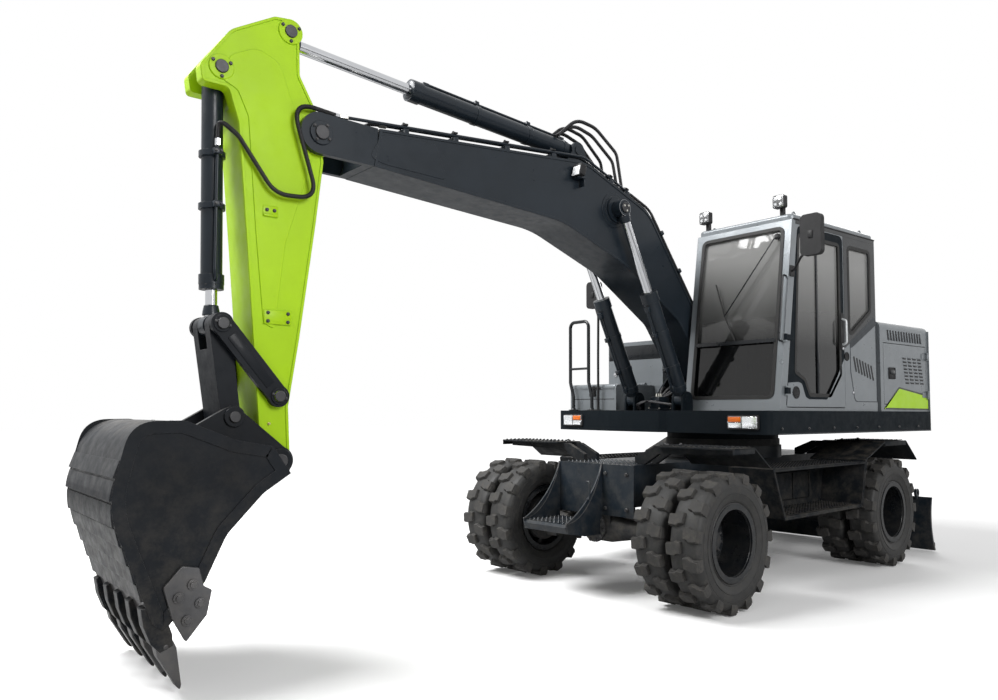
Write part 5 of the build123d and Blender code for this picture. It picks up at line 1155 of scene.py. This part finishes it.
def makeDoor(left, flush, outward):
    # seal, skirt, grille, divider, handle and lock
    pane = roundCorners([(640, 1800), (560, 2960), (-90, 2960), (-90, 1800), (90, 1610), (420, 1610), (500, 1740)], 30, 5)
    skirt = roundCorners([(-157, 1508), (778, 1508), (752, 1706), (600, 1716), (548, 1704), (492, 1592), (440, 1574),
                          (150, 1574), (-40, 1792), (-157, 1948)], [8, 8, 8, 60, 40, 40, 20, 30, 60, 8], 5)
    plate = roundCorners([(-150, 2350), (-92, 2350), (-92, 2010), (-150, 2040)], 14, 4)
    grip = [(-0.118, left + out, z) for out, z in ((0.006, 2.295), (0.046, 2.280), (0.046, 2.080), (0.006, 2.065))]
    inside = [(0.52, 1.150, 1.86), (0.50, 1.118, 1.88), (0.46, 1.118, 2.42), (0.46, 1.150, 2.44)]
    parts = made(
        (hoop, "doorSeal", grown(pane, 0.016), grown(pane, -0.014), left - 0.006, left + 0.003, "sealRubber"),
        (prism, "doorSkirt", skirt, flush, left + 0.003, "silverPaint", 0.001),
        (turned, "doorGrille", [(0.052, 0), (0.052, 0.006), (0.044, 0.009), (0.040, 0.004)], (0.640, left + 0.002, 1.628),
         outward, "blackPlastic", 32))
    parts += [slab("grilleBar", (0.070 - 0.008 * abs(k - 2), 0.004, 0.005), (0.640, left + 0.009, 1.604 + 0.012 * k),
                   "blackMesh", 0.001) for k in range(5)]
    parts += made(
        (slab, "doorDivider", (0.028, 0.014, 1.34), (0.270, left - 0.010, 2.290), "blackPaint", 0.003),
        (prism, "handlePlate", plate, flush, left + 0.010, "blackPlastic", 0.002),
        (tube, "doorGrip", rounded(grip, 0.02, 5), 0.011, "silverLight", 12),
        (turned, "doorLock", [(0.014, 0), (0.014, 0.004), (0.010, 0.006)], (-0.120, left + 0.010, 2.030), outward,
         "chrome", 16),
        (tube, "insideHold", rounded(inside, 0.02, 4), 0.011, "blackPaint", 10))
    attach(joined("doorTrim", parts), "door")


def makeHeadLamps():
    parts = []
    for origin, normal, flip in ((Vector((1.1044, 1.010, 1.380)), Vector((1, 0, 0)), 1),
                                 (Vector((1.1053, -0.9765, 1.380)), Vector((1, -0.1086, 0)).normalized(), -1)):
        across = normal.cross(Vector((0, 0, 1))) * -1      # to the machine's left
        for name, wide, high, thick, dy, dz, finish, out in (
                ("lampRecess", 0.284, 0.106, 0.006, 0.0, 0.0, "blackMesh", 0.0),
                ("lampBowl", 0.142, 0.096, 0.008, 0.068, 0.0, "reflector", 0.003),
                ("lampLens", 0.138, 0.092, 0.010, 0.068, 0.0, "lensWhite", 0.009),
                ("amberBowl", 0.122, 0.044, 0.008, -0.072, 0.024, "lampGlow", 0.003),
                ("amberLens", 0.120, 0.042, 0.010, -0.072, 0.024, "lensAmber", 0.009),
                ("clearBowl", 0.122, 0.044, 0.008, -0.072, -0.024, "reflector", 0.003),
                ("clearLens", 0.120, 0.042, 0.010, -0.072, -0.024, "lensWhite", 0.009)):
            at = origin + across * (dy * flip) + Vector((0, 0, dz)) + normal * out
            parts.append(slab(name, (thick, wide, high), at, finish, 0.003, (0, 0, 1), normal))
        parts += [turned("lampScrew", [(0.006, 0), (0.006, 0.003), (0.004, 0.004)], origin + across * dy, normal, "chrome", 10)
                  for dy in (-0.138, 0.138)]
    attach(joined("headLampFaces", parts), "house")
    print("head lamps made")


hood = {"side": 1.225, "louvres": 13, "ventColumns": 4, "ventRows": 8}


def makeHood():
    parts, outY = [], hood["side"]
    up, ahead = (0.17, 0, 1), (1, 0, -0.17)
    for side in (1, -1):
        y = side * outY
        # each louvre's slit is a dark slab beside its lip: painted shade for the opening
        for i in range(hood["louvres"]):
            x = -0.950 - 0.056 * i
            parts += made((slab, "louvre", (0.022, 0.006, 0.100), (x, y + side * 0.0005, 2.205), "blackMesh", 0.003, up, ahead),
                          (slab, "louvreLip", (0.010, 0.010, 0.104), (x - 0.016, y + side * 0.002, 2.205), "silverPaint", 0.003,
                           up, ahead))
        # lime wedge with its dark outline along the lower edge
        wedge = roundCorners([(-828, 1494), (-1150, 1712), (-1782, 1640), (-1782, 1488)], [10, 60, 0, 0], 5)
        parts += made((prism, "wedge", wedge, y - side * 0.001, y + side * 0.0012, "darkTape", 0.0),
                      (prism, "wedge", grown(wedge, -0.016), y - side * 0.001, y + side * 0.0024, "limeTape", 0.0))
    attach(joined("hoodTrim", parts), "house")

    parts = []
    # vent slots are dark slabs under their lips: painted shade for the openings
    for column in range(hood["ventColumns"]):
        for row in range(hood["ventRows"]):
            x, z = -1.275 - 0.105 * column - 0.008 * row, 1.990 - 0.034 * row
            parts += made((slab, "vent", (0.074, 0.006, 0.013), (x, outY + 0.0003, z), "blackMesh", 0.003),
                          (slab, "ventLip", (0.078, 0.008, 0.008), (x, outY + 0.002, z + 0.012), "silverPaint", 0.003))
    parts += made((slab, "latchPocket", (0.130, 0.006, 0.110), (-1.010, outY + 0.001, 1.840), "blackPlastic", 0.010),
                  (slab, "latchLever", (0.090, 0.014, 0.040), (-1.012, outY + 0.006, 1.850), "blackPaint", 0.006))
    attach(joined("hoodDoorTrim", parts), "side_door")

    parts = [slab("rearGrip", (0.010, 0.32, 0.05), (-2.142, 0.0, 2.06), "blackPlastic", 0.01)]
    for y in (-0.95, 0.95):
        parts += made((slab, "rearLampBase", (0.012, 0.240, 0.090), (-2.141, y, 1.420), "blackPlastic", 0.008),
                      (slab, "rearLampRed", (0.010, 0.120, 0.062), (-2.146, y + 0.05, 1.420), "lensRed", 0.006),
                      (slab, "rearLampWhite", (0.010, 0.080, 0.062), (-2.146, y - 0.06, 1.420), "lensWhite", 0.006))
    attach(joined("rearTrim", parts), "house")
    places = [((-1.95, y, 2.2905), (0, 0, 1)) for y in (-0.45, 0.45)]
    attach(boltsAt("weightBolts", places, "blackSteel", 0.022, 0.016, 0.034), "house")
    # lid: vents, dark slabs that paint the shade in their openings, and grab handles
    parts = [slab("lidVent", (0.020, 0.30, 0.008), (-1.10 - 0.05 * k, y, 2.3315), "blackMesh", 0.003)
             for y in (-0.72, 0.0, 0.72) for k in range(6)]
    for y in (-0.5, 0.5):
        handle = [(-1.66, y + dy, z) for dy, z in ((-0.08, 2.325), (-0.08, 2.375), (0.08, 2.375), (0.08, 2.325))]
        parts.append(tube("lidHandle", rounded(handle, 0.02, 4), 0.008, "blackPaint", 8))
    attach(joined("lidTrim", parts), "lid")
    print("hood dressed")


chassis = {"boxY": 0.960, "boxEdgeY": 1.170, "lipY": 1.246, "steerX": 1.630, "axleZ": 0.607, "cheekX": 1.900,
           "cheekLong": 0.430, "cheekSteps": 12}


def makeChassis():
    # treads: step between the cheeks, the plate above it, both step boxes and the fenders
    parts = made((gripField, "stepGrips", 0.34, 0.42, 8, 10, (2.110, -0.164, 0.574), "darkPaint"),
                 (gripField, "beamGrips", 0.40, 0.66, 9, 15, (1.660, 0.0, 1.0385), "darkPaint"))
    for side in (1, -1):
        boxY, edgeY, lipY = side * chassis["boxY"], side * chassis["boxEdgeY"], side * chassis["lipY"]
        edge = [(x, edgeY, z) for x, z in ((-0.590, 1.010), (1.100, 1.010), (0.930, 0.600), (-0.490, 0.600), (-0.590, 1.005))]
        parts += made(
            (gripField, "boxGrips", 1.24, 0.30, 26, 7, (0.200, boxY, 0.625), "darkMatt"),
            (gripField, "boxTopGrips", 1.50, 0.34, 30, 8, (0.255, boxY, 1.0135), "darkMatt"),
            (gripField, "fenderGrips", 0.26, 0.62, 6, 14, (1.650, side * 0.900, 1.1985), "darkMatt"),
            (gripField, "rearFenderGrips", 0.44, 0.46, 10, 11, (-1.075, side * 0.985, 1.1925), "darkMatt"),
            # turned-down lips of the fenders
            (slab, "fenderLip", (0.300, 0.008, 0.046), (1.650, lipY, 1.174), "darkMatt", 0.003),
            (slab, "rearFenderLip", (0.490, 0.008, 0.046), (-1.076, lipY, 1.168), "darkMatt", 0.003),
            # back plate, ribs and lip of the step boxes
            (slab, "boxPlate", (0.740, 0.010, 0.240), (0.120, side * 0.790, 0.800), "darkMatt", 0.004),
            *((slab, "boxRib", (0.016, 0.024, 0.230), (x, side * 0.796, 0.800), "darkMatt", 0.003)
              for x in (-0.20, 0.10, 0.40)),
            (tube, "boxEdge", rounded(edge, 0.02, 3), 0.007, "darkMatt", 8))
    # grab hook and rails on the step's cheeks
    hook = rounded([(2.100, y, z) for y, z in ((0.092, 0.760), (0.122, 0.760), (0.122, 0.900), (0.092, 0.900))], 0.02, 4)
    parts.append(tube("cheekHook", hook, 0.009, "darkPaint", 10))
    for y in (-0.404, 0.076):
        shares = [k / chassis["cheekSteps"] for k in range(chassis["cheekSteps"] + 1)]
        edge = [(chassis["cheekX"], y, 1.036)] + [(chassis["cheekX"] + chassis["cheekLong"] * t, y,
                                                   1.035 - 0.455 * (1 - (1 - t) ** 2.1) ** 0.82) for t in shares]
        parts.append(tube("cheekEdge", edge, 0.0075, "wornSteel", 8))
    # hoses between the beam and the front axle
    for y in (-0.30, -0.24, 0.24, 0.30):
        path = rounded([(1.800, y, 0.72), (1.860, y, 0.62), (1.800, y * 1.5, 0.60), (1.770, y * 1.9, 0.66)], 0.05, 5)
        parts.append(tube("axleHose", path, 0.011, "hoseRubber", 10))
    # steering cylinder: rods, glands and eyes
    x, z = chassis["steerX"], chassis["axleZ"]
    for s in (-1, 1):
        parts += made((turned, "steerRod", [(0.017, 0), (0.017, 0.21)], (x, s * 0.262, z), (0, s, 0), "chrome", 20),
                      (turned, "steerGland", [(0.043, 0), (0.047, 0.004), (0.047, 0.034), (0.036, 0.040)], (x, s * 0.225, z),
                       (0, s, 0), "castIron", 28),
                      (slab, "trackEye", (0.070, 0.060, 0.040), (x, s * 0.470, z), "castIron", 0.010))
    # differential cover and its plug
    parts += made((turned, "diffCover", [(0.120, 0), (0.120, 0.016), (0.095, 0.030), (0.030, 0.036)], (1.894, 0, 0.512),
                   (1, 0, 0), "castIron", 32),
                  (turned, "diffPlug", [(0.016, 0), (0.016, 0.010)], (1.928, 0, 0.512), (1, 0, 0), "zincFitting", 6))
    rideTurned(joined("chassisTrim", parts), "chassis")
    places = [((1.910, dy, 0.512 + dz), (1, 0, 0)) for dy, dz in circle(0.106, 10)]
    places += [((1.901, y, z), (1, 0, 0)) for y in (0.12, 0.34) for z in (0.68, 0.96)]
    for side in (1, -1):
        places += [((x, side * y, z), (0, 0, 1)) for x, y, z in ((1.56, 0.62, 1.196), (1.74, 0.62, 1.196), (-1.25, 0.80, 1.190),
                                                                 (-0.90, 0.80, 1.190))]
    rideTurned(boltsAt("chassisBolts", places, "blackSteel", 0.013, 0.012), "chassis")
    # ring of bolts under the house
    ring = [((x, y, 1.150), (0, 0, 1)) for x, y in circle(0.500, 36)]
    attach(boltsAt("slewBolts", ring, "blackSteel", 0.014, 0.014), "chassis")
    print("chassis dressed")


deck = {"valve": (0.800, -0.110), "boltX": (-1.5, -1.1, -0.7, -0.3, 0.1, 0.5, 0.9), "skirtY": 1.241}


def makeDeck():
    parts = []
    valveX, valveY = deck["valve"]
    for side in (1, -1):
        parts += made((discY, "footPin", pins["boomFoot"], 0.070, side * 0.222, side * 0.246, "blackSteel"),
                      (discY, "footRing", pins["boomFoot"], 0.100, side * 0.214, side * 0.230, "darkPaint"))
    # valve block with fittings, and hoses that run to the lift cylinders and up the boom's foot
    parts += made((slab, "valveBlock", (0.150, 0.110, 0.120), (valveX, valveY, 1.545), "darkPaint", 0.008),
                  (slab, "valveBase", (0.190, 0.150, 0.016), (valveX, valveY, 1.484), "darkPaint", 0.004))
    fitting = [(0.012, 0), (0.012, 0.012), (0.009, 0.016), (0.009, 0.030)]
    for k in range(4):
        top = (valveX + 0.03 * (k - 1.5), valveY, 1.606)
        parts += made((turned, "valveFitting", fitting, (0.876, -0.145 + 0.030 * k, 1.560), (1, 0, 0), "chrome", 6),
                      (turned, "valveFitting", fitting, top, (0, 0, 1), "zincFitting", 6))
    for y, reach in ((-0.145, -0.215), (-0.115, -0.190), (-0.085, 0.190), (-0.055, 0.215)):
        path = rounded([(0.905, y, 1.560), (1.000, y, 1.560), (1.010, reach, 1.530), (0.985, reach, 1.490)], 0.03, 5)
        parts.append(tube("valveHose", path, 0.010, "hoseRubber", 10))
    for k in range(4):
        y = -0.150 + 0.10 * k
        path = rounded([(0.770, -0.140 + 0.02 * k, 1.600), (0.700, y, 1.720), (0.560, y, 1.560), (0.420, y, 1.520),
                        (0.360, y, 1.482)], 0.08, 6)
        parts.append(tube("deckHose", path, 0.013, "hoseRubber", 10))
    parts += made(
        # black stripe of the tank, its filler, level eye and steps
        (slab, "tankStripe", (0.004, 0.735, 0.150), (0.3308, -0.8475, 2.085), "blackPaint", 0.0015),
        (slab, "tankStripeSide", (1.090, 0.004, 0.150), (-0.232, -1.2258, 2.085), "blackPaint", 0.0015),
        (turned, "tankFiller", [(0.062, 0), (0.062, 0.030), (0.055, 0.040), (0.020, 0.044)], (-0.500, -1.030, 2.198),
         (0, 0, 1), "blackPlastic", 32),
        (turned, "levelEye", [(0.024, 0), (0.024, 0.008), (0.018, 0.010)], (0.331, -1.120, 1.860), (1, 0, 0), "chrome", 20),
        *((slab, "tankStep", (0.130, 0.012, 0.018), (x, -1.228, 1.640), "blackPlastic", 0.004) for x in (-0.150, -0.310)),
        # tool box: latch and seam, handrail plates
        (slab, "boxLatch", (0.010, 0.090, 0.070), (0.904, -0.900, 1.650), "blackPlastic", 0.006),
        (slab, "boxSeam", (0.003, 0.600, 0.006), (0.9008, -0.9025, 1.590), "blackMesh", 0.0),
        *((turned, "railFoot", [(0.050, 0), (0.050, 0.008), (0.026, 0.012), (0.022, 0.022)], (0.960, y, 1.4755), (0, 0, 1),
           "blackPaint", 28) for y in (-1.120, -0.855)),
        (slab, "deckGrip", (0.160, 0.52, 0.003), (0.985, -0.62, 1.4770), "blackPlastic", 0.001),
        *((tube, "skirtLip", [(-1.780, y, 1.287), (0.95, y, 1.287)], 0.006, "darkPaint", 8)
          for y in (deck["skirtY"], -deck["skirtY"])),
        (slab, "exhaustCap", (0.052, 0.158, 0.012), (-0.816, 1.000, 2.484), "blackPlastic", 0.004),
        *((slab, "mirrorClamp", (0.016, 0.040, 0.060), at, "blackPlastic", 0.006)
          for at in ((0.886, 1.510, 2.870), (0.956, -0.850, 2.640))))
    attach(joined("deckTrim", parts), "house")
    places = []
    for side in (1, -1):
        places += [((x, side * 1.2405, 1.330), (0, side, 0)) for x in deck["boltX"]]
        places += [((0.430 + dx, side * 0.231, 1.880 + dz), (0, side, 0)) for dx in (-0.06, 0.06) for dz in (0.05, -0.05)]
    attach(boltsAt("deckBolts", places, "blackSteel", 0.009, 0.007), "house")
    places = [((valveX + dx, valveY + dy, 1.492), (0, 0, 1)) for dx in (-0.083, 0.083) for dy in (-0.062, 0.062)]
    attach(boltsAt("valveBolts", places, "zincFitting", 0.008, 0.007), "house")
    # lid shell, and its slot as a dark slab: painted shade for the opening
    shell = made((slab, "lidShell", (0.556, 0.640, 0.066), (0.628, -0.9025, 1.706), "silverPaint", 0.028, (0, 0, 1),
                  (1, 0, 0), 4),
                 (slab, "lidSlot", (0.008, 0.150, 0.030), (0.9045, -0.860, 1.702), "blackMesh", 0.008))
    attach(joined("toolLidTrim", shell), "box_lid")
    print("deck dressed")


seat = {"x": -150, "floor": 1.5203, "voxel": 0.0096, "quickVoxel": 0.012, "pressure": 4.0, "stiffness": 25, "frames": 20}


def cushion(name, outline, half):
    # the CAD solid's side line, slightly round, puffed by a short cloth run
    base = seat["floor"] * 1000
    line = roundCorners([(seat["x"] + x, base + z) for x, z in outline], 45, 6)
    body = prism(name, line, cab["mid"] - half, cab["mid"] + half, "seatCloth", 0.0)
    remesh = body.modifiers.new("even", "REMESH")
    remesh.mode = "VOXEL"
    remesh.voxel_size = seat["voxel"]
    applied(body)
    cloth = body.modifiers.new("puff", "CLOTH")
    settings = cloth.settings
    settings.use_pressure, settings.uniform_pressure_force = True, seat["pressure"]
    settings.effector_weights.gravity = 0.0
    settings.quality = settings.bending_stiffness = 4
    settings.tension_stiffness = settings.compression_stiffness = seat["stiffness"]
    cloth.point_cache.frame_start, cloth.point_cache.frame_end = 1, seat["frames"]
    for number in range(1, seat["frames"] + 1):
        bpy.context.scene.frame_set(number)
    applied(body)
    bpy.context.scene.frame_set(1)
    body.data.materials.clear()
    body.data.materials.append(finishes["seatCloth"])
    body.data.shade_smooth()
    return body


def makeSeat():
    mid, floor = cab["mid"], seat["floor"]
    cushions = made(
        (cushion, "seatCushion", [(265, 345), (255, 440), (-120, 425), (-215, 430), (-225, 345)], 0.225),
        (cushion, "seatBack", [(-135, 450), (-285, 930), (-375, 925), (-262, 440)], 0.215),
        (cushion, "headRest", [(-292, 945), (-300, 1075), (-372, 1060), (-352, 940)], 0.130))
    for piece in cushions:
        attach(piece, "house")
    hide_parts("seat")
    parts = [tube("headPost", [(-0.485, y, floor + 0.90), (-0.492, y, floor + 0.97)], 0.007, "chrome", 10)
             for y in (mid - 0.06, mid + 0.06)]
    for y in (-0.235, 0.235):
        parts += made(
            (slab, "bolster", (0.40, 0.040, 0.070), (-0.110, mid + y, floor + 0.385), "seatVinyl", 0.018),
            (slab, "armRest", (0.300, 0.060, 0.045), (-0.180, mid + y * 1.2, floor + 0.655), "seatVinyl", 0.018),
            (slab, "armStay", (0.040, 0.030, 0.180), (-0.310, mid + y * 1.12, floor + 0.560), "blackPlastic", 0.010))
    parts.append(slab("seatPan", (0.46, 0.44, 0.030), (-0.140, mid, floor + 0.334), "blackPlastic", 0.010))
    # control levers with boots and grips
    for y in (mid - 0.325, mid + 0.325):
        at = Vector((0.130, y, floor + 0.590))
        parts += made(
            (turned, "leverBoot", [(0.045, 0), (0.040, 0.020), (0.032, 0.030), (0.036, 0.040), (0.020, 0.070)], at, (0.1, 0, 1),
             "sealRubber", 24),
            (tube, "leverRod", [at + Vector((0, 0, 0.05)), at + Vector((0.02, 0, 0.15))], 0.008, "blackSteel", 10),
            (turned, "leverGrip", [(0.016, 0), (0.022, 0.02), (0.024, 0.06), (0.021, 0.10), (0.028, 0.125), (0.018, 0.145)],
             at + Vector((0.02, 0, 0.13)), (0.12, 0, 1), "blackPlastic", 20),
            (slab, "consoleTop", (0.34, 0.110, 0.016), (0.090, y, floor + 0.597), "blackPlastic", 0.005))
    # steering wheel rim, monitor, pedals and floor mat
    lean = Vector((-0.257, 0, 0.966))
    hub = Vector((0.390, mid, floor + 0.655)) + lean * 0.012
    m, up, ahead = frameFrom(hub, lean, (0, 1, 0)), (-0.3, 0, 1), (1, 0, 0.3)
    parts += made(
        (tube, "wheelRim", [m @ Vector((x, y, 0)) for x, y in circle(0.163, 40, 0.0, 1)], 0.0145, "blackPlastic", 12),
        (turned, "wheelHub", [(0.050, 0), (0.050, 0.012), (0.036, 0.020)], hub, lean, "blackPlastic", 28),
        (slab, "monitor", (0.030, 0.220, 0.150), (0.640, 0.400, floor + 0.780), "blackPlastic", 0.010, up, ahead),
        (slab, "monitorFace", (0.004, 0.190, 0.120), (0.622, 0.400, floor + 0.777), "mirrorFace", 0.002, up, ahead),
        (tube, "monitorStay", [(0.66, 0.36, floor), (0.65, 0.39, floor + 0.70)], 0.014, "blackPlastic", 10))
    for y in (mid - 0.09, mid + 0.09):
        parts += made(
            (slab, "pedal", (0.150, 0.070, 0.012), (0.470, y, floor + 0.090), "blackPlastic", 0.004, (-0.5, 0, 1), (1, 0, 0.5)),
            (tube, "pedalStay", [(0.520, y, floor + 0.002), (0.480, y, floor + 0.085)], 0.009, "blackSteel", 8))
    parts.append(gripField("matRibs", 0.30, 0.70, 12, 22, (0.260, mid, floor + 0.002), "sealRubber", 0.009))
    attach(joined("cabInside", parts), "house")
    print("seat and controls made")


def makeBlade():
    parts = [slab("bladeEdge", (0.018, 2.38, 0.060), (-2.166, 0, 0.062), "wornSteel", 0.004)]
    parts += [slab("bladeRib", (0.050, 0.018, 0.40), (-2.098, y, 0.300), "darkPaint", 0.004)
              for y in (-0.95, -0.32, 0.32, 0.95)]
    rideTurned(joined("bladeTrim", parts), "blade")
    places = [((-2.174, -1.05 + 0.30 * k, 0.070), (-1, 0, 0)) for k in range(8)]
    rideTurned(boltsAt("bladeBolts", places, "wornSteel", 0.014, 0.010), "blade")
    print("blade dressed")


studio = {"floorSize": 60.0, "floorGlow": 0.06, "farGlow": 0.78, "floorShade": 0.94, "worldLight": 0.33,
          "lamps": {"keyLamp": ((7.5, -3.0, 9.0), (2.0, 0.0, 1.6), 6.0, 1700.0),
                    "sideLamp": ((3.5, 11.0, 6.0), (0.5, 0.5, 1.4), 5.0, 800.0),
                    "rearLamp": ((-9.0, -4.0, 8.0), (0.0, 0.0, 1.5), 6.0, 450.0)}}


def seenBy(tree, path, *rays):
    # one where the ray is of any of these kinds
    seen = path.outputs[rays[0]]
    for ray in rays[1:]:
        seen = maths(tree, "MAXIMUM", seen, path.outputs[ray])
    return seen


def makeStudio():
    # the camera sees a glowing floor and a white world, the lighting a plain floor and a soft world
    floor = meshObject("studioFloor", [(-1, -1, 0), (1, -1, 0), (1, 1, 0), (-1, 1, 0)], [(0, 1, 2, 3)], "lampGlow")
    floor.scale = (studio["floorSize"],) * 3
    floor.location = (0, 0, -0.002)
    material = bpy.data.materials.new("studioFloor")
    world = bpy.data.worlds.new("studioWorld")
    bpy.context.scene.world = world
    for owner in (material, world):
        owner.use_nodes = True
        owner.node_tree.nodes.clear()

    tree = material.node_tree
    shade = studio["floorShade"]
    tint = span(tree, noiseOf(tree, objectPlace(tree), 40.0), 0.4, 0.6)
    diffuse = addNode(tree, "ShaderNodeBsdfDiffuse", {0: blendColour(tree, tint, (shade,) * 3, (shade * 1.02,) * 3)})
    position = addNode(tree, "ShaderNodeNewGeometry").outputs["Position"]
    away = addNode(tree, "ShaderNodeVectorMath", {0: position}, operation="LENGTH").outputs["Value"]
    glow = addNode(tree, "ShaderNodeEmission", {0: (1, 1, 1, 1), 1: span(tree, away, 5.0, 16.0, studio["floorGlow"],
                                                                        studio["farGlow"])})
    lit = addNode(tree, "ShaderNodeAddShader", {0: diffuse.outputs[0], 1: glow.outputs[0]})
    plain = addNode(tree, "ShaderNodeBsdfDiffuse", {0: (0.55, 0.55, 0.55, 1)})
    seen = seenBy(tree, addNode(tree, "ShaderNodeLightPath"), "Is Camera Ray", "Is Transmission Ray")
    mix = addNode(tree, "ShaderNodeMixShader", {0: seen, 1: plain.outputs[0], 2: lit.outputs[0]})
    addNode(tree, "ShaderNodeOutputMaterial", {0: mix.outputs[0]})
    floor.data.materials.clear()
    floor.data.materials.append(material)

    tree = world.node_tree
    white, soft = [addNode(tree, "ShaderNodeBackground", {0: (1, 1, 1, 1), 1: strength})
                   for strength in (1.0, studio["worldLight"])]
    seen = seenBy(tree, addNode(tree, "ShaderNodeLightPath"), "Is Camera Ray", "Is Transmission Ray", "Is Glossy Ray")
    mix = addNode(tree, "ShaderNodeMixShader", {0: seen, 1: soft.outputs[0], 2: white.outputs[0]})
    addNode(tree, "ShaderNodeOutputWorld", {0: mix.outputs[0]})

    for name, (at, to, size, power) in studio["lamps"].items():
        data = bpy.data.lights.new(name, "AREA")
        data.shape, data.size, data.energy = "DISK", size, power
        lamp = link(bpy.data.objects.new(name, data))
        lamp.location = at
        lamp.rotation_euler = (Vector(to) - Vector(at)).to_track_quat("-Z", "Y").to_euler()


cameraAt = {"place": (6.672, 4.8825, 1.462), "yaw": 4.026, "pitch": 0.061, "roll": 0.003, "focal": 803.31,
            "centre": (513.876, 362.547), "image": (998, 700), "sensor": 36.0}


def makeCamera():
    data = bpy.data.cameras.new("photoCamera")
    camera = link(bpy.data.objects.new("photoCamera", data))
    yaw, pitch, roll = cameraAt["yaw"], cameraAt["pitch"], cameraAt["roll"]
    forward = Vector((cos(pitch) * cos(yaw), cos(pitch) * sin(yaw), sin(pitch)))
    level = Vector((sin(yaw), -cos(yaw), 0))
    upright = level.cross(forward)
    right, up = level * cos(roll) + upright * sin(roll), upright * cos(roll) - level * sin(roll)
    m = Matrix((right, up, -forward)).transposed().to_4x4()
    m.translation = Vector(cameraAt["place"])
    camera.matrix_world = m
    width, height = cameraAt["image"]
    data.sensor_width = cameraAt["sensor"]
    data.lens = cameraAt["focal"] * cameraAt["sensor"] / width
    data.shift_x = (width / 2 - cameraAt["centre"][0]) / width
    data.shift_y = (cameraAt["centre"][1] - height / 2) / width
    data.clip_end = 200.0
    bpy.context.scene.camera = camera


for make in (makeWheels, makeBoom, makeLoops, makeArmHoses, makeArm, makeCylinders, makeBucket, makeLinks, makeCab,
             makeHeadLamps, makeHood, makeChassis, makeDeck, makeSeat, makeBlade, makeStudio, makeCamera):
    make()
bpy.context.scene.view_settings.view_transform = "Standard"
print("studio and camera made")
